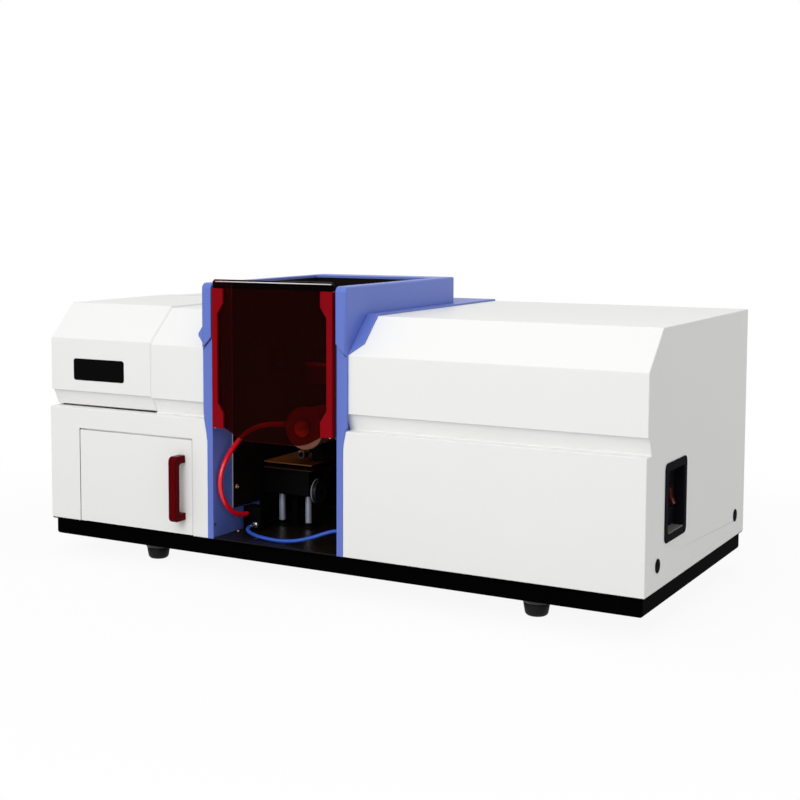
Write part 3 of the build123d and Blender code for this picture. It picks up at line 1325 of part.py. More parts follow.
# Detector housing on the case's left wall, and the power supply on the deck
detector_width = 26.0
detector_half = 24.0
detector_drop = 47.0
detector_rise = 38.0
supply_width = 150.0
supply_end_gap = 60.0
detector_bottom = beam_height - detector_drop
detector_top = beam_height + detector_rise
supply_right = half_width - supply_end_gap
supply_left = supply_right - supply_width
supply_front = 200.0
supply_back = 340.0
supply_height = 90.0
save("detector_housing", block(mono_left - detector_width, mono_left, exit_depth - detector_half,
                               exit_depth + detector_half, detector_bottom, detector_top))
save("power_supply", block(supply_left, supply_right, supply_front, supply_back, 0, supply_height))

# Gas controls behind the door: an upright panel with two regulators, two valves and a flow tube
panel_depth = 150.0
panel_thickness = 3.0
panel_side_gap = 8.5
panel_right_gap = 5.3
panel_top_gap = 24.0
panel_left_end = door_left + panel_side_gap
panel_right_end = door_right - panel_right_gap
panel_height = bay_floor_top - sheet - panel_top_gap
panel_width = panel_right_end - panel_left_end
panel_foot = 40.0
regulator_radius_share = 4 / 43
regulator_length = 34.0
regulator_height_share = 48 / 73
valve_half = 12.0
valve_length = 30.0
valve_height_share = 22 / 73
control_shares = (8 / 43, 20 / 43)
flow_share = 34 / 43
flow_half = 11.0
flow_depth = 18.0
flow_bottom_share = 12 / 73
flow_top_share = 66 / 73
regulator_radius = regulator_radius_share * panel_width
regulator_height = regulator_height_share * panel_height
valve_height = valve_height_share * panel_height
flow_x = panel_left_end + flow_share * panel_width
flow_bottom = flow_bottom_share * panel_height
flow_top = flow_top_share * panel_height
gas_panel = block(panel_left_end, panel_right_end, panel_depth, panel_depth + panel_thickness, 0, panel_height)
gas_panel += block(panel_left_end, panel_right_end, panel_depth, panel_depth + panel_foot, 0, panel_thickness)
gas_controls = []
for control_share in control_shares:
    control_x = panel_left_end + control_share * panel_width
    gas_controls.append(rod_y(control_x, regulator_height, panel_depth - regulator_length, panel_depth,
                              regulator_radius))
    gas_controls.append(block(control_x - valve_half, control_x + valve_half, panel_depth - valve_length,
                              panel_depth, valve_height - valve_half, valve_height + valve_half))
gas_controls.append(block(flow_x - flow_half, flow_x + flow_half, panel_depth - flow_depth, panel_depth,
                          flow_bottom, flow_top))
save("gas_controls", gas_panel, *gas_controls)
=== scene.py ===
# The looks of a bench flame atomic absorption spectrometer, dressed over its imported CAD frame.
# Lengths are metres. X runs along the front, Y from front to back and Z up from the bench.
import json
import math

import bmesh
import bpy
import numpy as np
from mathutils import Matrix, Vector

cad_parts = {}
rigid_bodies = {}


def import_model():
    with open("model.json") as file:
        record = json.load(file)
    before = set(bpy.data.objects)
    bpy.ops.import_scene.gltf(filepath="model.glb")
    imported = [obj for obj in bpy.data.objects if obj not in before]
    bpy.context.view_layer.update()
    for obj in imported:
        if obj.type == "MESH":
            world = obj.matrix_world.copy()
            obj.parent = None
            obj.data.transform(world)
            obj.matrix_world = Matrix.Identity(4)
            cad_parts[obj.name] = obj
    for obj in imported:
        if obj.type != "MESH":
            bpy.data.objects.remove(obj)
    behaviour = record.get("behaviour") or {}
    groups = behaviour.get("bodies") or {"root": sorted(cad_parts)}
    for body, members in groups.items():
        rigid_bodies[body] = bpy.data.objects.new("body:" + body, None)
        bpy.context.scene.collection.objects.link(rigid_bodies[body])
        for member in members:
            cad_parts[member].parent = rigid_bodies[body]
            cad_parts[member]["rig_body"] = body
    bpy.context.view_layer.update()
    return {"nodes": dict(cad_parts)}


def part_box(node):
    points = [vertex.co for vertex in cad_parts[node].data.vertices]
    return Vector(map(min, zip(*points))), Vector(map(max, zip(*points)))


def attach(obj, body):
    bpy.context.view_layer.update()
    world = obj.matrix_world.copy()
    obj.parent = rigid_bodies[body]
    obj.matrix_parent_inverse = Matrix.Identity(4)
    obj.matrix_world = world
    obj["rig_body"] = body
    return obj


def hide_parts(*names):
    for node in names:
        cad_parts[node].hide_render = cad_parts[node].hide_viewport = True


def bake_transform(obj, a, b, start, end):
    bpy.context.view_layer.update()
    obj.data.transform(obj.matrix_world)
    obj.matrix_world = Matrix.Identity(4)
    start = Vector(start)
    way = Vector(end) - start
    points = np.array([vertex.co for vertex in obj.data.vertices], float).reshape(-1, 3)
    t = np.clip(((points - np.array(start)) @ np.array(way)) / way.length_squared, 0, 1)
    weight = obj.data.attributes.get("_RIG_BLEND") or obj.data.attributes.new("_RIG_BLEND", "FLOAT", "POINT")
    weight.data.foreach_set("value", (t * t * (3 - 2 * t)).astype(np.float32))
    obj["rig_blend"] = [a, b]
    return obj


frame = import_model()

# Base tray and deck: folded steel under the whole instrument, the tray stove-enamelled satin black and the
# deck zinc-plated.
# The tray's lower edges are bent round, and its rim carries the white covers.
weld_gap = 1e-6
flat_angle = math.radians(0.4)
sharp_angle = math.radians(28)
black_satin = "020203"
black_worn = "050506"
tray_edge = 0.0012
edge_steps = 3


def linear(hex_colour):
    """An sRGB hex colour as linear red, green and blue, with alpha 1."""
    parts = [int(hex_colour[place:place + 2], 16) / 255 for place in (0, 2, 4)]
    return [part / 12.92 if part <= 0.04045 else ((part + 0.055) / 1.055) ** 2.4 for part in parts] + [1.0]


def add_node(tree, kind, values={}, links={}, **properties):
    """Adds one node, sets its properties and its inputs' values, and joins its inputs to outputs."""
    node = tree.nodes.new(kind)
    for key, value in properties.items():
        setattr(node, key, value)
    for key, value in values.items():
        node.inputs[key].default_value = value
    for key, output in links.items():
        tree.links.new(output, node.inputs[key])
    return node


def surface_finish(name, light, dark, patch, grain, relief, roughness, spread=0.04, **shader_values):
    """A finish whose colour drifts between two tones over patches, with a fine grain in its height and gloss.

    patch and grain are the sizes in metres of one cell of noise, and relief is the grain's height. The
    roughness swings by spread to either side.
    """
    material = bpy.data.materials.new(name)
    material.use_nodes = True
    tree = material.node_tree
    shader = tree.nodes["Principled BSDF"]
    for key, value in shader_values.items():
        shader.inputs[key.replace("_", " ")].default_value = value
    place = add_node(tree, "ShaderNodeTexCoord").outputs["Object"]
    drift = add_node(tree, "ShaderNodeTexNoise", {"Scale": 1 / patch, "Detail": 3.0}, {"Vector": place})
    tone = add_node(tree, "ShaderNodeMix", {6: linear(light), 7: linear(dark)}, {0: drift.outputs["Fac"]},
                    data_type="RGBA")
    tree.links.new(tone.outputs[2], shader.inputs["Base Color"])
    fine = add_node(tree, "ShaderNodeTexNoise", {"Scale": 1 / grain, "Detail": 2.0}, {"Vector": place})
    gloss = add_node(tree, "ShaderNodeMapRange", {3: roughness - spread, 4: roughness + spread},
                     {0: fine.outputs["Fac"]})
    tree.links.new(gloss.outputs[0], shader.inputs["Roughness"])
    bump = add_node(tree, "ShaderNodeBump", {"Strength": 1.0, "Distance": relief},
                    {"Height": fine.outputs["Fac"]})
    tree.links.new(bump.outputs["Normal"], shader.inputs["Normal"])
    return material


def paint(node, material):
    """Gives a CAD node's own object a material."""
    part = frame["nodes"][node]
    part.data.materials.clear()
    part.data.materials.append(material)


def placed(name, data):
    """An object that holds this data, linked to the scene."""
    piece = bpy.data.objects.new(name, data)
    bpy.context.scene.collection.objects.link(piece)
    return piece


def round_edges(piece, edge, steps, keep_sharp):
    """Rounds a piece's sharp edges with a radius and a number of steps, and evens its shading."""
    bevel = piece.modifiers.new("rounded edges", "BEVEL")
    bevel.width = edge
    bevel.segments = steps
    bevel.limit_method = "ANGLE"
    bevel.angle_limit = sharp_angle
    bevel.use_clamp_overlap = False
    shading = piece.modifiers.new("even shading", "WEIGHTED_NORMAL")
    shading.keep_sharp = keep_sharp


def dressed(node, name, material, edge, steps=edge_steps, zones=()):
    """A copy of a CAD node with its loose triangles merged, its flat areas made whole and its edges rounded.

    Each zone is a material and the low and high corners of the box whose faces get it.
    """
    shape = bmesh.new()
    shape.from_mesh(frame["nodes"][node].data)
    bmesh.ops.remove_doubles(shape, verts=shape.verts, dist=weld_gap)
    bmesh.ops.dissolve_limit(shape, angle_limit=flat_angle, verts=shape.verts, edges=shape.edges)
    mesh = bpy.data.meshes.new(name)
    shape.to_mesh(mesh)
    shape.free()
    for layer in [layer for layer in mesh.attributes if layer.name == "custom_normal"]:
        mesh.attributes.remove(layer)
    mesh.materials.clear()
    mesh.materials.append(material)
    mesh.polygons.foreach_set("use_smooth", np.ones(len(mesh.polygons), bool))
    middles = np.zeros(3 * len(mesh.polygons))
    mesh.polygons.foreach_get("center", middles)
    middles = middles.reshape(-1, 3)
    finishes = np.zeros(len(mesh.polygons), int)
    for number, (finish, low, high) in enumerate(zones, 1):
        mesh.materials.append(finish)
        finishes[np.all((middles >= low) & (middles <= high), axis=1)] = number
    mesh.polygons.foreach_set("material_index", finishes)
    piece = placed(name, mesh)
    round_edges(piece, edge, steps, True)
    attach(piece, frame["nodes"][node]["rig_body"])
    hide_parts(node)
    return piece


# Stoved enamel, satin: near black, with a faint orange peel that breaks up its reflections.
black_enamel = surface_finish("stoved enamel, satin black", black_satin, black_worn, 0.09, 0.0022, 0.00003,
                              0.5, Specular_IOR_Level=0.002)
# Zinc-plated steel, rolled: dull grey, for sheets that the covers hide.
plated_steel = surface_finish("zinc-plated steel, rolled", "A9ABAE", "97999D", 0.05, 0.0015, 0.00002, 0.36,
                              Metallic=1.0)
dressed("base_tray", "base_tray_enamelled", black_enamel, tray_edge)
paint("deck_plate", plated_steel)

# Feet: a lobed plastic levelling wheel on each of four rubber pads, threaded into the base tray.
# The wheel is wider than the pad, and its lobes give a grip to the fingers.
ring_lobes = 10
lobe_depth = 0.0011
ring_round = 0.0022
pad_round = 0.0065
foot_places = [(side, end) for side in (-1, 1) for end in (0, 1)]


def closed_grid(rows, columns):
    """Faces of a grid whose columns wrap round, with its first and last rows closed by one face each."""
    row = np.arange(rows - 1)[:, None]
    column = np.arange(columns)[None, :]
    following = (column + 1) % columns
    quads = np.stack([row * columns + column, row * columns + following, (row + 1) * columns + following,
                      (row + 1) * columns + column], -1).reshape(-1, 4)
    first = list(range(columns))[::-1]
    last = list(range((rows - 1) * columns, rows * columns))
    return quads.tolist() + [first, last]


def new_piece(name, points, faces, material, body, edge=None):
    """A smooth piece from points and faces that rides on a body, with its edges rounded if edge is given."""
    mesh = bpy.data.meshes.new(name)
    mesh.from_pydata(np.asarray(points).reshape(-1, 3).tolist(), [], faces)
    mesh.materials.append(material)
    mesh.polygons.foreach_set("use_smooth", np.ones(len(mesh.polygons), bool))
    shape = bmesh.new()
    shape.from_mesh(mesh)
    bmesh.ops.recalc_face_normals(shape, faces=shape.faces)
    shape.to_mesh(mesh)
    shape.free()
    piece = placed(name, mesh)
    if edge:
        round_edges(piece, edge, edge_steps, False)
    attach(piece, body)
    return piece


def turned(profile, start, axis, segments=48, lobes=0, depth=0.0):
    """Points of a turned shape: a ring for each step (distance along the axis, radius) of the profile.

    The radius may fall and rise with the angle in a number of lobes: radius - depth * (1 - |cos|) of the
    half lobe angle, wherever the profile's third value, from 0 to 1, lets it.
    """
    profile = np.array([list(step) + [0.0] * (3 - len(step)) for step in profile])
    along, radius, grip = profile[:, 0, None], profile[:, 1, None], profile[:, 2, None]
    angle = np.linspace(0, 2 * np.pi, segments, endpoint=False)[None, :]
    fall = depth * grip * (1 - np.abs(np.cos(angle * lobes / 2)))
    direction = Vector(axis).normalized()
    across = direction.orthogonal().normalized()
    other = direction.cross(across)
    ring = (radius - fall)[..., None] * (np.cos(angle)[..., None] * np.array(across)
                                         + np.sin(angle)[..., None] * np.array(other))
    return np.array(start) + along[..., None] * np.array(direction) + ring


def arc_profile(centre_along, centre_radius, size, start, stop, steps=5, grip=0.0):
    """Steps of a profile round a quarter or half circle of the given size, between two angles in degrees."""
    turns = np.radians(np.linspace(start, stop, steps))
    return [(centre_along + size * math.sin(turn), centre_radius + size * math.cos(turn), grip)
            for turn in turns]


# Moulded nylon, black, given a dark grey that is lighter than the other black mouldings.
dark_grey_nylon = surface_finish("moulded nylon, black, dark grey", "303136", "3A3B40", 0.02, 0.0012, 0.00003, 0.4,
                             Specular_IOR_Level=0.4)
# Nitrile rubber, moulded: matte and slightly dusty.
foot_rubber = surface_finish("nitrile rubber, moulded", "0C0C0D", "131313", 0.012, 0.0009, 0.00005, 0.6,
                             Specular_IOR_Level=0.2)
ring_low, ring_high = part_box("foot_rings")
pad_low, pad_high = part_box("foot_pads")
ring_radius = 0.0205
pad_radius = 0.019
pad_foot = 0.017
ring_height = ring_high.z - ring_low.z
pad_height = pad_high.z - pad_low.z
ring_hub, pad_hub, pad_chamfer = 0.004, 0.006, 0.0008
ring_middle = ring_radius - ring_round
ring_segments, pad_segments = 120, 64
for side, end in foot_places:
    foot_x = ring_low.x + ring_radius if side < 0 else ring_high.x - ring_radius
    foot_y = ring_high.y - ring_radius if end else ring_low.y + ring_radius
    foot = f"{'back' if end else 'front'}_{'left' if side < 0 else 'right'}"
    ring_profile = [(0, ring_hub)] + arc_profile(ring_round, ring_middle, ring_round, -90, 0, grip=1.0)
    ring_profile += arc_profile(ring_height - ring_round, ring_middle, ring_round, 0, 90, grip=1.0)
    ring_profile += [(ring_height, ring_hub)]
    wheel = turned(ring_profile, (foot_x, foot_y, ring_low.z), (0, 0, 1), ring_segments, ring_lobes,
                   lobe_depth)
    ring = new_piece(f"levelling_wheel_{foot}", wheel, closed_grid(len(ring_profile), ring_segments),
                     dark_grey_nylon, "chassis")
    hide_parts("foot_rings")
    pad_profile = [(0, pad_hub)] + arc_profile(pad_round, pad_foot - pad_round, pad_round, -90, 0)
    pad_profile += [(pad_height - pad_chamfer, pad_radius), (pad_height, pad_radius - pad_chamfer),
                    (pad_height, pad_hub)]
    sole = turned(pad_profile, (foot_x, foot_y, pad_low.z), (0, 0, 1), pad_segments)
    pad = new_piece(f"rubber_pad_{foot}", sole, closed_grid(len(pad_profile), pad_segments), foot_rubber,
                    "chassis")
    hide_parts("foot_pads")

# White covers: steel sheet folded into two housings and powder coated, held down to the rim of the tray.
# The left one is cut away for the lamp lid and the front door.
cover_fold = 0.0014
# Powder coat, fine texture: warm white, with the shallow orange peel of the cured powder.
powder_coat = surface_finish("powder coat, fine texture, white", "F3F3F1", "F0F0EE", 0.16, 0.0026, 0.000035,
                             0.46, Specular_IOR_Level=0.35)
dressed("left_cover", "left_cover_folded", powder_coat, cover_fold)
dressed("right_cover", "right_cover_folded", powder_coat, cover_fold)

# Cover plugs: round snap-in caps over the cover's side screws, moulded in black plastic, with a domed face.
# Two sit low on each end, and their stems reach through the sheet.
# Moulded nylon, black, with a matt grain: almost without gloss.
matt_nylon = surface_finish("moulded nylon, black, matt", "131318", "17171C", 0.02, 0.0012, 0.00003, 0.6,
                            Specular_IOR_Level=0.005)
plug_rim = 0.0004
plug_dome = 0.0011
plug_crown = 0.0006
plug_flange = 0.0014
plug_stem, plug_stem_radius = 0.0065, 0.0068
plug_shoulder, plug_crest = (-0.0004, 0.0075), (-0.0001, 0.0045)
plug_middle = 0.001
plug_radius = 0.010
plug_segments = 48
plug_profile = [(-plug_stem, plug_middle), (-plug_stem, plug_stem_radius), (-plug_flange, plug_stem_radius),
                (-plug_flange, plug_radius - plug_rim), (-plug_dome, plug_radius),
                (-plug_crown, plug_radius - plug_rim), plug_shoulder, plug_crest, (0.0, plug_middle)]
plug_low, plug_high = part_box("cover_plugs")
for side in (-1, 1):
    for plug_y in (plug_low.y + plug_radius, plug_high.y - plug_radius):
        plug_face = plug_high.x if side > 0 else plug_low.x
        cap = turned(plug_profile, (plug_face, plug_y, plug_low.z + plug_radius), (side, 0, 0), plug_segments)
        plug = new_piece(f"snap_cap_{'left' if side < 0 else 'right'}_{'front' if plug_y < 0 else 'back'}",
                         cap, closed_grid(len(plug_profile), plug_segments), matt_nylon, "chassis")
        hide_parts("cover_plugs")

# Chamber columns, chimney hood and saddle: blue structural mouldings that frame the burner chamber.
# The hood sits on the columns at a slanting seam, and the saddle laps over the white slopes.
moulding_edge, moulding_steps = 0.0008, 4
saddle_edge = 0.0007
# Moulded ABS, sprayed satin blue: a fine spark-eroded grain softens the highlight along each edge.
blue_abs = surface_finish("moulded ABS, satin blue", "6379CD", "5F74C6", 0.12, 0.0016, 0.00005, 0.40,
                          Specular_IOR_Level=0.4)
# Powder coat on the saddle and the rear panel, in the same blue, a shade greyer.
blue_coat = surface_finish("powder coat, satin blue", "6277C6", "5D72BF", 0.14, 0.0022, 0.00004, 0.42,
                           Specular_IOR_Level=0.4)
dressed("left_column", "left_column_moulding", blue_abs, moulding_edge, moulding_steps)
dressed("right_column", "right_column_moulding", blue_abs, moulding_edge, moulding_steps)
dressed("chimney_hood", "chimney_hood_moulding", blue_abs, moulding_edge, moulding_steps)
# Painted shadow in the joint under the hood: a dark strip at the slanting seam on each column's front,
# standing in for the shade under the hood's proud edge.
seam_shadow = surface_finish("painted shadow in the joint, blue", "2E3A70", "283364", 0.05, 0.0016, 0.00003,
                             0.6, Specular_IOR_Level=0.05)
floor_low, floor_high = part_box("chamber_floor")
column_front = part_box("left_column")[0].y
column_width = 0.0175
seam_start, seam_climb, seam_gap = 0.2985, 0.018, 0.0018
seam_inset, seam_skin, seam_sunk = 0.0009, 0.0001, 0.0004
for side, inner, outwards in (("left", floor_low.x, -1), ("right", floor_high.x, 1)):
    outer = inner + outwards * (column_width - seam_inset)
    outline = [(outer, seam_start), (inner, seam_start + seam_climb),
               (inner, seam_start + seam_climb - seam_gap), (outer, seam_start - seam_gap)]
    strip = [[(x, column_front + depth, floor_low.z + z) for x, z in outline]
             for depth in (-seam_skin, seam_sunk)]
    new_piece(f"hood_seam_painted_shadow_{side}", strip, closed_grid(2, 4), seam_shadow, "chassis")
# The saddle behind the hood and the rear panel below it, both folded from sheet.
dressed("rear_saddle", "rear_saddle_folded", blue_coat, saddle_edge)
dressed("rear_panel", "rear_panel_folded", blue_coat, saddle_edge)

# Chamber lining: a black enamelled floor tray, a slotted back plate and sheets on both walls.
# The sheets are sheared from enamelled stock, so their front edges show bare bright steel.
lining_edge = 0.0003
# Gloss enamel on the floor, with a film of dried spray that dulls it in patches.
floor_enamel = surface_finish("gloss enamel, black, spattered", "0B0908", "1A120D", 0.035, 0.004, 0.00004,
                              0.32, 0.09, Specular_IOR_Level=0.1)
# Heat-resistant matt black on the walls, browned by the flame.
wall_enamel = surface_finish("heat-resistant black, matt", "0C0908", "16100C", 0.08, 0.003, 0.00003, 0.5,
                             Specular_IOR_Level=0.05)
# Sheared steel edge: bright and finely scratched.
bare_steel = surface_finish("sheared steel edge", "E4E2DC", "BCB9B2", 0.01, 0.0008, 0.00002, 0.45,
                            Metallic=0.4)
dressed("chamber_floor", "chamber_floor_tray", floor_enamel, lining_edge)
dressed("chamber_back", "chamber_back_plate", wall_enamel, lining_edge)
liner_low, liner_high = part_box("chamber_liners")
zone_margin = 0.0001
dressed("chamber_liners", "chamber_wall_sheets", wall_enamel, lining_edge,
        zones=[(bare_steel, liner_low - Vector([zone_margin] * 3),
                (liner_high.x + zone_margin, liner_low.y + zone_margin, liner_high.z + zone_margin))])

# Beam windows: a black anodised flange with its tube through each wall, and a polished quartz disc in it.
# The lamps' light crosses the chamber through them, over the burner's slot.
crisp_edge, small_edge = 0.0002, 0.0005
# Anodised aluminium, dyed black: dull, and almost without gloss.
black_anodised = surface_finish("anodised aluminium, black", "030304", "070709", 0.03, 0.001, 0.00002, 0.42,
                                Specular_IOR_Level=0.04)
# Fused quartz: clear, with a cool edge.
quartz = surface_finish("fused quartz, polished", "F3F7FA", "EDF2F6", 0.05, 0.01, 0.000005, 0.03, 0.01,
                        Transmission_Weight=1.0, IOR=1.458)
dressed("window_flanges", "window_flanges_turned", black_anodised, small_edge)
dressed("beam_windows", "beam_window_discs", quartz, crisp_edge)

# Flame shield: a smoked acrylic sheet with a bent lip to pull it up by, between two red brackets.
# Tongues behind the brackets slide in slotted guides, so the shield goes up past the hood.
acrylic_edge = 0.0005
bracket_edge = 0.0008
fine_edge = 0.0003
# Cast acrylic, smoked red-brown: lets a dull red light through and mirrors the room in its face.
acrylic = surface_finish("cast acrylic, smoked red", "860B07", "780906", 0.2, 0.03, 0.000004, 0.03, 0.01,
                         Transmission_Weight=0.975, IOR=1.08)
# The same acrylic along its top edge, painted nearly black: painted shade where the sheet's edge looks dark.
acrylic_rim_painted_dark = surface_finish("cast acrylic, top edge, painted dark", "180506", "100304", 0.02, 0.001, 0.00001, 0.2,
                             Specular_IOR_Level=0.1)
# The acrylic of the lip in a darker copy: painted shade, as the lip looks darker seen slantwise.
acrylic_lip_shaded = surface_finish("cast acrylic, smoked red, lip, painted shade", "3A0604", "300504", 0.2, 0.03, 0.000004, 0.03,
                             0.01, Transmission_Weight=1.0, IOR=1.08)
# A painted highlight on the lip's front: a pale strip that stands in for the lamps' reflection as one bright
# line.
lip_painted_highlight = surface_finish("painted highlight on the lip", "F6F2F0", "E6DEDB", 0.02, 0.001, 0.00001,
                               0.3, Specular_IOR_Level=0.6)
# The acrylic at its heated bend and along its long edges, a duller red.
acrylic_bend = surface_finish("cast acrylic, heated bend", "7E0F16", "6A0A10", 0.02, 0.001, 0.00001, 0.3,
                              Specular_IOR_Level=0.4)
# Moulded nylon, black and smooth: dark grey where the light grazes it.
black_nylon = surface_finish("moulded nylon, black", "1A1B1F", "232429", 0.02, 0.0012, 0.00003, 0.34,
                             Specular_IOR_Level=0.5)
# Stoved enamel on folded steel, dark red.
red_enamel = surface_finish("stoved enamel, dark red", "8C0814", "820610", 0.05, 0.0016, 0.00003, 0.3,
                            Specular_IOR_Level=0.03)
sheet_low, sheet_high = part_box("shield_sheet")
bracket_low, bracket_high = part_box("shield_brackets")
zone_reach = 0.001
lip_rim = 0.0009
sheet_thickness = 0.003
bracket_foot = 0.004
edge_skin = 0.0004
bend_depth = 0.0006
sheet_back = sheet_high.y - sheet_thickness
left_end, right_end = sheet_low.x - zone_reach, sheet_high.x + zone_reach
front_end = sheet_low.y - zone_reach
dressed("shield_sheet", "shield_sheet_acrylic", acrylic, acrylic_edge,
        zones=[(acrylic_lip_shaded, (left_end, front_end, bracket_high.z + zone_reach),
                (right_end, sheet_back - edge_skin, sheet_high.z + zone_reach)),
               (acrylic_bend, (left_end, sheet_back + edge_skin, sheet_low.z - zone_reach),
                (right_end, sheet_high.y - edge_skin, bracket_low.z + bracket_foot)),
               (acrylic_rim_painted_dark, (sheet_low.x, front_end, sheet_high.z - lip_rim),
                (right_end, sheet_high.y + zone_reach, sheet_high.z + zone_reach)),
               (acrylic_bend, (left_end, front_end, bracket_high.z - bend_depth),
                (right_end, sheet_high.y + zone_reach, bracket_high.z + bend_depth))])
glint_low, glint_high = 0.0040, 0.0026
glint_ends = (0.0060, 0.0032)
lip_lean, lip_height = 0.002, 0.0137
glint_skin = 0.00015
glint_rows = np.array([(sheet_back - lip_lean * (1 - drop / lip_height), sheet_high.z - drop)
                       for drop in (glint_low, glint_high)])
glint_corners = [(side, row, depth) for row in glint_rows for depth in (-glint_skin, 3 * glint_skin)
                 for side in (sheet_low.x + glint_ends[0], sheet_high.x - glint_ends[1])]
glint_points = [(side, row[0] + depth, row[1]) for side, row, depth in glint_corners]
glint_faces = [(0, 1, 5, 4), (2, 3, 7, 6), (0, 1, 3, 2), (4, 5, 7, 6), (0, 2, 6, 4), (1, 3, 7, 5)]
new_piece("shield_lip_painted_highlight", glint_points, glint_faces, lip_painted_highlight, "shield")
dressed("shield_brackets", "shield_brackets_folded", red_enamel, bracket_edge)
dressed("shield_guides", "shield_guides_moulded", black_nylon, fine_edge)

# Screws: small pan heads with a hexagon socket, which hold the brackets, the liners and the columns.
# They are too small to carry a load, so they are drawn here alone.
screw_segments = 36
head_share, socket_share = 0.55, 0.42
# Steps of the dome as shares of the height and the radius, and of the socket as shares of height and size.
dome_steps = ((-0.2, 1.0), (0.35, 1.0), (0.8, 0.85), (1.0, 0.62))
socket_steps = ((1.0, 1.0), (0.35, 1.0), (0.3, 0.1))


def screw_head(name, place, axis, radius, material, body):
    """A domed head whose radius follows a low arc, with a six-sided socket sunk in its middle.

    The socket's radius at each angle is its half width across flats over the cosine of the angle from the
    nearest flat, and the dome outside it is round.
    """
    height = head_share * radius
    socket = socket_share * radius
    angle = np.linspace(0, 2 * np.pi, screw_segments, endpoint=False)
    flat = (angle + np.pi / 6) % (np.pi / 3) - np.pi / 6
    hexagon = socket / np.cos(flat)
    rim = radius * np.ones_like(angle)
    steps = [(rise * height, share * rim) for rise, share in dome_steps]
    steps += [(rise * height, share * hexagon) for rise, share in socket_steps]
    direction = Vector(axis).normalized()
    across = direction.orthogonal().normalized()
    other = direction.cross(across)
    ring = np.cos(angle)[:, None] * np.array(across) + np.sin(angle)[:, None] * np.array(other)
    points = [np.array(place) + along * np.array(direction) + size[:, None] * ring for along, size in steps]
    return new_piece(name, points, closed_grid(len(steps), screw_segments), material, body)


# Stainless steel screws: bright, turned.
stainless = surface_finish("stainless steel, turned", "C9C8C4", "B3B2AE", 0.004, 0.0006, 0.00001, 0.24,
                           Metallic=1.0)
# Brass, plain and a little dull.
dull_brass = surface_finish("brass, turned, dulled", "B99B62", "9D8250", 0.006, 0.0007, 0.00001, 0.3,
                            Metallic=1.0)
left_inset, right_inset, front_inset = 0.0065, 0.0075, 0.0030
stop_radius = 0.0021
for name, bracket_x in (("left", bracket_low.x + left_inset), ("right", bracket_high.x - right_inset)):
    screw_head(f"bracket_stop_screw_{name}", (bracket_x, bracket_low.y + front_inset, bracket_low.z),
               (0, 0, -1), stop_radius, stainless, "shield")
# Each of these screws' places is measured from the floor's lower front corner on its left.
floor_sheet = floor_high.z - floor_low.z
liner_sheet = 0.002
floor_screws = [("liner_screw", (liner_sheet, 0.063, 0.073), (1, 0, 0), 0.0042, dull_brass, "brass"),
                ("column_foot_screw", (0.0065, 0.060, floor_sheet), (0, 0, 1), 0.0034, dull_brass, "steel"),
                ("column_side_screw", (0.0, 0.004, 0.0225), (1, 0, 0), 0.0024, black_nylon, "black_moulding")]
for name, offset, axis, radius, material, slot in floor_screws:
    place = [corner + step for corner, step in zip(floor_low, offset)]
    screw_head(name, place, axis, radius, material, "chassis")
guide_inset, guide_depth, guide_height, guide_radius = 0.0034, 0.0103, 0.296, 0.0016
screw_head("guide_screw", (floor_high.x - guide_inset, floor_low.y + guide_depth, floor_low.z + guide_height),
           (0, 1, 0), guide_radius, stainless, "chassis")

# Burner lift: two bright ground posts and a rack on a black foot plate, and a block that slides on them.
# The block carries the stage, and its knob turns a pinion on the rack.
soft_edge, full_edge = 0.0006, 0.0010
# Aluminium, clear anodised: pale blue-grey, drawn along its length.
clear_anodised = surface_finish("anodised aluminium, clear", "B9BFD0", "A9AFC0", 0.02, 0.0009, 0.00001,
                                0.34, Metallic=0.35)
# Enamelled steel plate, brown, stained by acid.
stage_enamel = surface_finish("enamelled plate, brown", "704418", "5A3210", 0.03, 0.002, 0.00003, 0.34,
                              Specular_IOR_Level=0.3)
dressed("burner_base", "burner_foot_plate", black_anodised, soft_edge)
guide_low, guide_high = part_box("lift_guides")
rack_half = 0.006
rack_middle = (guide_low.x + guide_high.x) / 2
dressed("lift_guides", "lift_posts_and_rack", clear_anodised, crisp_edge,
        zones=[(black_anodised, (rack_middle - rack_half, guide_low.y - zone_reach, guide_low.z - zone_reach),
                (rack_middle + rack_half, guide_high.y + zone_reach, guide_high.z + zone_reach))])
dressed("lift_block", "lift_block_machined", black_anodised, full_edge)
saddle_foot = 0.1125
lower_plate = 0.0085
# The same plate lower down, darkened as painted shade where the lower plate lies in shadow.
stage_painted_shade = surface_finish("enamelled plate, brown, painted shade", "2E1B0C", "1E1208", 0.03, 0.002, 0.00003,
                            0.4, Specular_IOR_Level=0.1)
stage_low, stage_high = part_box("burner_stage")
stage_start = (stage_low.x - zone_reach, stage_low.y - zone_reach)
stage_end = (stage_high.x + zone_reach, stage_high.y + zone_reach)
dressed("burner_stage", "burner_stage_plate", stage_enamel, small_edge,
        zones=[(stage_painted_shade, (*stage_start, stage_low.z - zone_reach),
                (*stage_end, stage_low.z + lower_plate)),
               (black_anodised, (*stage_start, floor_low.z + saddle_foot),
                (*stage_end, stage_high.z + zone_reach))])
paint("lift_knob", black_nylon)
knob_low, knob_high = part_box("lift_knob")
knob_radius = (knob_high.z - knob_low.z) / 2
knob_length = 0.008
knob_centre = ((knob_low.y + knob_high.y) / 2, (knob_low.z + knob_high.z) / 2)
knob_skin, knob_dish, grip_start = 0.0002, 0.0010, 0.0010
knob_bevel, bevel_corner, back_bevel = 0.0014, 0.0004, 0.0018
rim_inset, dish_inset = 0.0034, 0.0045
knob_bore, boss_foot, boss_top, boss_middle = 0.0035, 0.0062, 0.0054, 0.002
knob_segments, knob_ribs, rib_depth = 240, 60, 0.0004
wheel_face, wheel_radius = knob_length + knob_skin, knob_radius + knob_skin
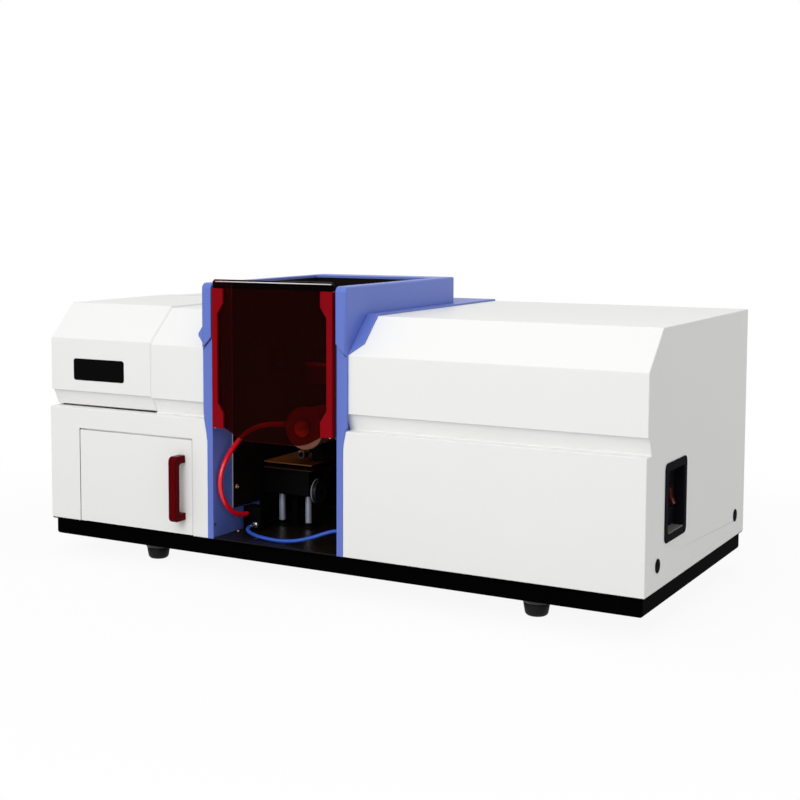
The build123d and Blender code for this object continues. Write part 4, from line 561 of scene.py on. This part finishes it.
knob_profile = [(-knob_skin, knob_bore), (-knob_skin, knob_radius - back_bevel),
                (grip_start, wheel_radius, 1.0), (knob_length - knob_bevel, wheel_radius, 1.0),
                (knob_length - bevel_corner, knob_radius - bevel_corner),
                (wheel_face, knob_radius - knob_bevel), (wheel_face, knob_radius - rim_inset),
                (knob_length - knob_dish, knob_radius - dish_inset),
                (knob_length - knob_dish, boss_foot), (wheel_face, boss_top), (wheel_face, boss_middle)]
wheel_back = (knob_high.x - knob_length, *knob_centre)
new_piece("lift_knob_wheel", turned(knob_profile, wheel_back, (1, 0, 0), knob_segments, knob_ribs, rib_depth),
          closed_grid(len(knob_profile), knob_segments), matt_nylon, "knob")
# The knob's back rim, painted light grey: a painted highlight where the black rim catches the lamps.
rim_painted_highlight = surface_finish("moulded nylon, black, rim with painted highlight", "A2A29E", "8E8E8C", 0.01, 0.001,
                            0.00002, 0.4, Specular_IOR_Level=0.4)
rim_proud, rim_back, rim_depth, rim_bore = 0.0004, 0.0008, 0.0012, 0.004
rim_segments = 120
rim_profile = [(-rim_back, rim_bore), (-rim_back, knob_radius - rim_proud), (0.0, knob_radius + rim_proud),
               (rim_depth, knob_radius + rim_proud), (rim_depth, rim_bore)]
new_piece("lift_knob_rim", turned(rim_profile, wheel_back, (1, 0, 0), rim_segments),
          closed_grid(len(rim_profile), rim_segments), rim_painted_highlight, "knob")

# Spray chamber, nebuliser and burner head: a moulded plastic cylinder on the stage, a turned steel
# nebuliser screwed into its front flange, and a titanium head with its slot on the chamber's neck.
# Polypropylene, natural: tan and slightly waxy.
tan_plastic = surface_finish("moulded polypropylene, tan", "9C734D", "8C6340", 0.02, 0.0012, 0.00003, 0.36,
                             Subsurface_Weight=0.05, Specular_IOR_Level=0.4)
# Titanium, ground: warm grey, straw coloured near the flame.
titanium = surface_finish("titanium, ground", "97928B", "857A6C", 0.02, 0.0007, 0.00001, 0.36, Metallic=1.0)
# Polypropylene, black: the drain's nut, glossy where the fingers turn it.
black_nut = surface_finish("moulded polypropylene, black", "141112", "1E1816", 0.006, 0.0008, 0.00001, 0.25,
                           Specular_IOR_Level=0.2)
drain_place = Vector((0.1005, 0.104, 0.124)) + floor_low
drain_nut = 0.0082
dressed("spray_chamber", "spray_chamber_moulded", tan_plastic, full_edge,
        zones=[(black_nut, drain_place - Vector([drain_nut] * 3), drain_place + Vector([drain_nut] * 3))])
dressed("nebuliser", "nebuliser_turned", stainless, soft_edge)
dressed("burner_head", "burner_head_ground", titanium, crisp_edge)

# Hoses: a red rubber fuel hose that arches from the spray chamber out and down to the manifold, and a
# blue polyurethane air hose that lies in a bow along the floor. Both are pushed on to metal nipples.
fuel_diameter = 0.008
air_diameter = 0.006
hose_sides = 20
spline_order, spline_steps = 3, 10
hose_origin = np.array(floor_low)
fuel_points = [(0.0595, 0.1100, 0.1718), (0.0483, 0.1045, 0.1718), (0.0357, 0.0960, 0.1709),
               (0.0259, 0.0840, 0.1677), (0.0196, 0.0690, 0.1625), (0.0152, 0.0540, 0.1530),
               (0.0118, 0.0400, 0.1406), (0.0096, 0.0255, 0.1270), (0.0080, 0.0135, 0.1105),
               (0.0074, 0.0075, 0.0910), (0.0078, 0.0100, 0.0710), (0.0095, 0.0200, 0.0525),
               (0.0120, 0.0350, 0.0385), (0.0147, 0.0520, 0.0292), (0.0150, 0.0740, 0.0285)]
air_points = [(0.0300, 0.0580, 0.0120), (0.0312, 0.0475, 0.0110), (0.0405, 0.0385, 0.0085),
              (0.0575, 0.0305, 0.0062), (0.0825, 0.0240, 0.0053), (0.1100, 0.0208, 0.0053),
              (0.1370, 0.0222, 0.0082), (0.1630, 0.0272, 0.0155), (0.1850, 0.0325, 0.0245),
              (0.2010, 0.0356, 0.0294), (0.2139, 0.0360, 0.0300)]


def hose_path(name, points):
    """The points along a smooth spline that the route's points steer."""
    curve = bpy.data.curves.new(name, "CURVE")
    curve.dimensions = "3D"
    spline = curve.splines.new("NURBS")
    spline.points.add(len(points) - 1)
    spline.points.foreach_set("co", np.c_[points, np.ones(len(points))].ravel())
    spline.order_u = spline_order
    spline.use_endpoint_u = True
    spline.resolution_u = spline_steps
    guide = placed(name, curve)
    bpy.context.view_layer.update()
    line = bpy.data.meshes.new_from_object(guide)
    path = np.array([vertex.co for vertex in line.vertices])
    bpy.data.objects.remove(guide)
    bpy.data.meshes.remove(line)
    return path


def tube(path, radius, reference, sides=hose_sides):
    """A ring of points round each point of the path, square to the path there.

    The ring's first direction is the path's direction crossed with the reference, and its second is square
    to both.
    """
    along = np.gradient(path, axis=0)
    along /= np.linalg.norm(along, axis=1)[:, None]
    first = np.cross(along, reference)
    first /= np.linalg.norm(first, axis=1)[:, None]
    second = np.cross(along, first)
    angle = np.linspace(0, 2 * np.pi, sides, endpoint=False)[None, :, None]
    return path[:, None] + radius * (np.cos(angle) * first[:, None] + np.sin(angle) * second[:, None])


# Natural rubber, extruded red: a soft gloss, darker where it is handled.
fuel_rubber = surface_finish("rubber hose, extruded, red", "EE0A20", "DC071B", 0.03, 0.0015, 0.00003, 0.24,
                             Specular_IOR_Level=0.6)
# Polyurethane, extruded blue: glossier than rubber.
air_hose_plastic = surface_finish("polyurethane hose, extruded, blue", "2C58C2", "244EB2", 0.03, 0.002,
                                  0.00002, 0.22, Specular_IOR_Level=0.5)
fuel_path = hose_path("fuel_hose_line", np.array(fuel_points) + hose_origin)
air_path = hose_path("air_hose_line", np.array(air_points) + hose_origin)
fuel_hose = new_piece("fuel_hose_rubber", tube(fuel_path, fuel_diameter / 2, (1, 0, 0)),
                      closed_grid(len(fuel_path), hose_sides), fuel_rubber, "chassis")
# The fuel hose stretches between the chassis and the lift, so it rides on neither alone.
fuel_hose.parent = None
del fuel_hose["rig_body"]
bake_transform(fuel_hose, "chassis", "lift", start=tuple(fuel_path[-1]), end=tuple(fuel_path[0]))
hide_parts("fuel_hose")
air_hose = new_piece("air_hose_plastic", tube(air_path, air_diameter / 2, (0, 0, 1)),
                     closed_grid(len(air_path), hose_sides), air_hose_plastic, "chassis")
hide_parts("air_hose")
# Chrome plate on the hoses' nipples and nuts: bright, with dark streaks where it mirrors the walls.
chrome = surface_finish("chromium plate, polished", "C4C4C2", "B2B2B0", 0.01, 0.001, 0.000005, 0.16,
                        Metallic=0.9)
manifold_low, manifold_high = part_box("hose_manifold")
manifold_front = 0.0759
manifold_right = 0.0381
manifold_left = 0.0225
nipple_front, nipple_foot = manifold_low.y - zone_reach, manifold_low.z - zone_reach
dressed("hose_manifold", "hose_manifold_block", black_anodised, small_edge,
        zones=[(chrome, (floor_low.x + manifold_left, nipple_front, nipple_foot),
                (manifold_high.x + zone_reach, floor_low.y + manifold_front, manifold_high.z + zone_reach)),
               (chrome, (floor_low.x + manifold_right, nipple_front, nipple_foot),
                manifold_high + Vector([zone_reach] * 3))])

# Lamp lid: a folded white shell over the lamps, with the display's black window let into its front.
# It swings up on a rolled steel hinge at its back, and a rubber seal fills the seam beside it.
lid_fold = 0.0008
# Tinted acrylic behind which the display sits, black and glossy when it is off.
display_glass = surface_finish("tinted acrylic, polished", "020203", "040405", 0.05, 0.02, 0.000004, 0.12,
                               0.02, Specular_IOR_Level=0.03)
dressed("lamp_lid", "lamp_lid_folded", powder_coat, lid_fold)
dressed("display_window", "display_window_plate", display_glass, fine_edge)
for leaf in ("hinge_fixed_leaf", "hinge_lid_leaf"):
    dressed(leaf, f"{leaf}_rolled", stainless, crisp_edge)
# Silicone rubber, white: the seal that fills the seams beside the lid and the door.
white_rubber = surface_finish("silicone rubber, extruded, white", "ECEBE8", "E4E3E0", 0.03, 0.0012, 0.00002,
                              0.55, Specular_IOR_Level=0.3)
lid_low, lid_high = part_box("lamp_lid")
lid_rise = 0.0025
seal_gap = 0.0002
seal_width = 0.0007
seal_lap = 0.0016
seal_proud = 0.00003
seal_depth = 0.0008
lid_groove, lid_step, lid_brow = 0.0165, 0.005, 0.025
slope_foot, slope_back, lid_top, lid_back = 0.112, 0.0585, 0.167, 0.320
seal_line = np.array([(lid_groove, 0.0), (lid_step, lid_brow), (0.0, lid_brow), (0.0, slope_foot),
                      (slope_back, lid_top), (lid_back, lid_top)])
seal_line += (lid_low.y, lid_low.z - lid_rise)
seal_edge = 0.0001


def bead(corners):
    """Corners of a strip that runs along lines in Y and Z.

    Each corner of its section is at an X of its own, on its own line moved inwards by a depth along the
    mitre, which is the sum of the normals of the line's two runs over one plus their dot product.
    """
    rings = []
    for x, line, depth in corners:
        runs = np.diff(line, axis=0)
        runs /= np.linalg.norm(runs, axis=1)[:, None]
        normals = np.stack([runs[:, 1], -runs[:, 0]], 1)
        before, after = np.vstack([normals[:1], normals]), np.vstack([normals, normals[-1:]])
        mitre = (before + after) / (1 + np.sum(before * after, axis=1))[:, None]
        rings.append(np.c_[np.full(len(line), x), line + depth * mitre])
    return np.stack(rings, 1)


seal_start, seal_end = lid_high.x + seal_gap, lid_high.x + seal_gap + seal_width
seal = bead([(seal_start, seal_line + (0, lid_rise), seal_gap), (seal_end + seal_lap, seal_line, -seal_proud),
             (seal_end, seal_line, seal_depth), (seal_start, seal_line, seal_depth)])
new_piece("lid_seam_seal", seal, closed_grid(len(seal_line), 4), white_rubber, "chassis",
          seal_edge)

# Front door: a folded tray with a moulded red pull handle, screwed on from behind, on two steel pins.
# Moulded ABS, dark red and glossy, for the handle.
red_abs = surface_finish("moulded ABS, gloss red", "5A0104", "520104", 0.03, 0.0018, 0.00001, 0.10,
                         Specular_IOR_Level=0.02)
dressed("left_door", "left_door_folded", powder_coat, soft_edge)
dressed("door_handle", "door_handle_moulded", red_abs, soft_edge)
dressed("door_hinge_pins", "door_hinge_pins_turned", stainless, crisp_edge)
door_low, door_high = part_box("left_door")
door_gap = 0.002
seal_sunk = 0.0003
door_line = np.array([(door_low.y, door_low.z), (door_low.y, door_high.z)])
door_seal = bead([(door_high.x + seal_gap, door_line, seal_sunk),
                  (door_high.x + seal_gap + seal_width, door_line, seal_sunk),
                  (door_high.x + seal_gap + seal_width, door_line, seal_depth),
                  (door_high.x + seal_gap, door_line, seal_depth)])
new_piece("door_seam_seal", door_seal, closed_grid(2, 4), white_rubber, "chassis", seal_edge)
# A second strip of the seal closes the gap above the door.
strip_top = np.array([(door_low.y, door_high.z + seal_gap), (door_low.y, door_high.z + door_gap)])
strip_back, strip_front, strip_start = 0.0032, 0.0022, 0.010
strip_ends = (door_low.x + strip_start, door_high.x)
top_strip = bead([(strip_ends[0], strip_top, strip_front), (strip_ends[1], strip_top, strip_front),
                  (strip_ends[1], strip_top, strip_back), (strip_ends[0], strip_top, strip_back)])
new_piece("door_draught_strip", top_strip, closed_grid(2, 4), white_rubber, "chassis")

# Power switch: a moulded black cup in the right end, with a framed red rocker in its floor.
# The rocker's plastic lets a lamp behind it glow through, and it is off here.
red_rocker = surface_finish("polycarbonate, clear red", "5E100C", "4E0C09", 0.01, 0.002, 0.00001, 0.16,
                            Specular_IOR_Level=0.08)
# The cup's lowest wall, painted grey: painted light, where the lamps light the cup's floor.
cup_floor_painted_light = surface_finish("moulded nylon, black, painted light", "7A7970", "6A695F", 0.02, 0.0012,
                              0.00003, 0.5, Specular_IOR_Level=0.3)
cup_low, cup_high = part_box("recess_cup")
pocket_bottom = 0.0122
pocket_inset = 0.0125
pocket_depth = 0.0155
cup_edge = 0.0012
pocket_foot = cup_low.z + pocket_bottom
dressed("recess_cup", "recess_cup_moulded", matt_nylon, cup_edge,
        zones=[(cup_floor_painted_light, (cup_high.x - pocket_depth, cup_low.y + pocket_inset, pocket_foot - zone_reach),
                (cup_high.x, cup_high.y - pocket_inset, pocket_foot))])
dressed("switch_frame", "switch_frame_moulded", matt_nylon, fine_edge)
dressed("switch_rocker", "switch_rocker_moulded", red_rocker, soft_edge)

# Back: the mains inlet, the fan with its wire guard, and two brass gas inlets.
# They are seen from behind only, in the finishes that such fittings have.
inlet_edge, guard_edge = 0.0004, 0.0007
dressed("mains_inlet", "mains_inlet_moulded", black_nylon, inlet_edge)
dressed("fan_frame", "fan_frame_moulded", black_nylon, inlet_edge)
dressed("fan_rotor", "fan_rotor_moulded", black_nylon, fine_edge)
dressed("fan_guard", "fan_guard_wire", stainless, guard_edge)
dressed("gas_inlets", "gas_inlets_turned", dull_brass, inlet_edge)

# Inside the left housing: the lamp bay's shelf, the geared turret with its six lamps, and the gas panel.
# They show when the lid or the door is open.
# Borosilicate glass, blown: clear, with a faint cool tint.
lamp_glass = surface_finish("lamp glass", "F2F5F6", "ECEFF1", 0.05, 0.01, 0.000005, 0.04, 0.01,
                            Transmission_Weight=0.9, IOR=1.47)
left_inside = [("lamp_bay", plated_steel, "steel"), ("turret_cradle", clear_anodised, "aluminium"),
               ("lamp_turret", clear_anodised, "aluminium"), ("turret_pinion", dull_brass, "brass"),
               ("stepping_motors", black_anodised, "steel"),
               ("hollow_cathode_lamps", lamp_glass, "lamp_glass"),
               ("gas_controls", clear_anodised, "aluminium")]
for node, material, slot in left_inside:
    dressed(node, f"{node}_finished", material, fine_edge)

# Inside the right housing: the monochromator's cast case, its optics, the detector and the power supply.
# The cover hides them all, so their finishes are plain.
right_inside = [("mono_case", black_anodised, "aluminium"), ("mono_lid", black_anodised, "aluminium"),
                ("mono_mirrors", stainless, "aluminium"), ("grating_table", clear_anodised, "aluminium"),
                ("scan_pinion", dull_brass, "brass"), ("detector_housing", black_anodised, "black_aluminium"),
                ("power_supply", plated_steel, "steel")]
for node, material, slot in right_inside:
    dressed(node, f"{node}_finished", material, fine_edge)

# Studio: a white sweep that shows white to the camera and keeps a soft shadow, and large soft lamps.
# The light on the object comes from the lamps and a dim world, not from the white backdrop.
floor_half = 6.0
shadow_share = 0.08
shadow_reach = 1.3


def seen_rays(tree):
    """The light path's node, and a value that is 1 for rays of the camera, of mirrors and of glass."""
    rays = add_node(tree, "ShaderNodeLightPath")
    mirrored = add_node(tree, "ShaderNodeMath", {},
                        {0: rays.outputs["Is Camera Ray"], 1: rays.outputs["Is Glossy Ray"]}, operation="ADD")
    seen = add_node(tree, "ShaderNodeMath", {},
                    {0: mirrored.outputs[0], 1: rays.outputs["Is Transmission Ray"]}, operation="ADD",
                    use_clamp=True)
    return rays, seen.outputs[0]


studio = bpy.data.materials.new("studio paper, white")
studio.use_nodes = True
tree = studio.node_tree
tree.nodes.clear()
rays, seen = seen_rays(tree)
place = add_node(tree, "ShaderNodeTexCoord").outputs["Object"]
away = add_node(tree, "ShaderNodeVectorMath", {}, {0: place}, operation="LENGTH")
white = add_node(tree, "ShaderNodeMapRange",
                 {1: shadow_reach / 2, 2: shadow_reach, 3: 1 - shadow_share, 4: 1.0},
                 {0: away.outputs["Value"]}, interpolation_type="SMOOTHSTEP")
share = add_node(tree, "ShaderNodeMath", {}, {0: seen, 1: white.outputs[0]}, operation="MULTIPLY")
bounce = add_node(tree, "ShaderNodeMix", {6: linear("F4F4F4"), 7: linear("CCCCCC")},
                  {0: rays.outputs["Is Diffuse Ray"]}, data_type="RGBA")
paper = add_node(tree, "ShaderNodeBsdfDiffuse", {}, {"Color": bounce.outputs[2]})
glow = add_node(tree, "ShaderNodeEmission", {"Color": (1, 1, 1, 1), "Strength": 1.0})
blend = add_node(tree, "ShaderNodeMixShader", {},
                 {0: share.outputs[0], 1: paper.outputs[0], 2: glow.outputs[0]})
add_node(tree, "ShaderNodeOutputMaterial", {}, {"Surface": blend.outputs[0]})
floor_mesh = bpy.data.meshes.new("studio_floor")
floor_corners = [(-floor_half, -floor_half, 0), (floor_half, -floor_half, 0), (floor_half, floor_half, 0),
                 (-floor_half, floor_half, 0)]
floor_mesh.from_pydata(floor_corners, [], [[0, 1, 2, 3]])
floor_mesh.materials.append(studio)
placed("studio_floor", floor_mesh)

world = bpy.data.worlds.new("studio")
bpy.context.scene.world = world
world.use_nodes = True
tree = world.node_tree
tree.nodes.clear()
rays, seen = seen_rays(tree)
ambient = 0.45
level = add_node(tree, "ShaderNodeMapRange", {3: ambient, 4: 1.0}, {0: seen})
sky = add_node(tree, "ShaderNodeBackground", {"Color": (1, 1, 1, 1)}, {"Strength": level.outputs[0]})
add_node(tree, "ShaderNodeOutputWorld", {}, {"Surface": sky.outputs[0]})

lamps = [("key_softbox", (0.1, -3.1, 1.9), (0, 0, 0.25), 2.0, 58.0),
         ("top_softbox", (0.2, -0.2, 3.0), (0, 0, 0.3), 2.6, 19.0),
         ("right_fill", (2.6, 0.7, 0.9), (0.4, 0, 0.2), 1.6, 6.0)]
for name, place, aim, size, power in lamps:
    data = bpy.data.lights.new(name, "AREA")
    data.shape = "SQUARE"
    data.size = size
    data.energy = power
    lamp = placed(name, data)
    lamp.location = place
    lamp.rotation_euler = (Vector(aim) - Vector(place)).to_track_quat("-Z", "Y").to_euler()

# Camera: at the photograph's viewpoint, which was fitted to the housings' corners.
# Its shift frames the object as the photograph does, and leaves the view unturned.
camera_place = (1.1118, -2.0963, 0.5725)
camera_yaw = math.radians(31.806)
camera_pitch = math.radians(-4.813)
camera_roll = math.radians(-0.131)
camera_lens, camera_sensor = 65.935, 36.0
camera_shift = (0.1378, -0.0824)
camera_reach = 50.0
camera_data = bpy.data.cameras.new("camera")
camera_data.sensor_width = camera_sensor
camera_data.lens = camera_lens
camera_data.shift_x, camera_data.shift_y = camera_shift
camera_data.clip_end = camera_reach
camera = placed("camera", camera_data)
turn = Matrix.Rotation(camera_yaw, 4, "Z") @ Matrix.Rotation(math.pi / 2 + camera_pitch, 4, "X")
camera.matrix_world = Matrix.Translation(camera_place) @ turn @ Matrix.Rotation(camera_roll, 4, "Z")
bpy.context.scene.camera = camera
bpy.context.scene.view_settings.view_transform = "Standard"
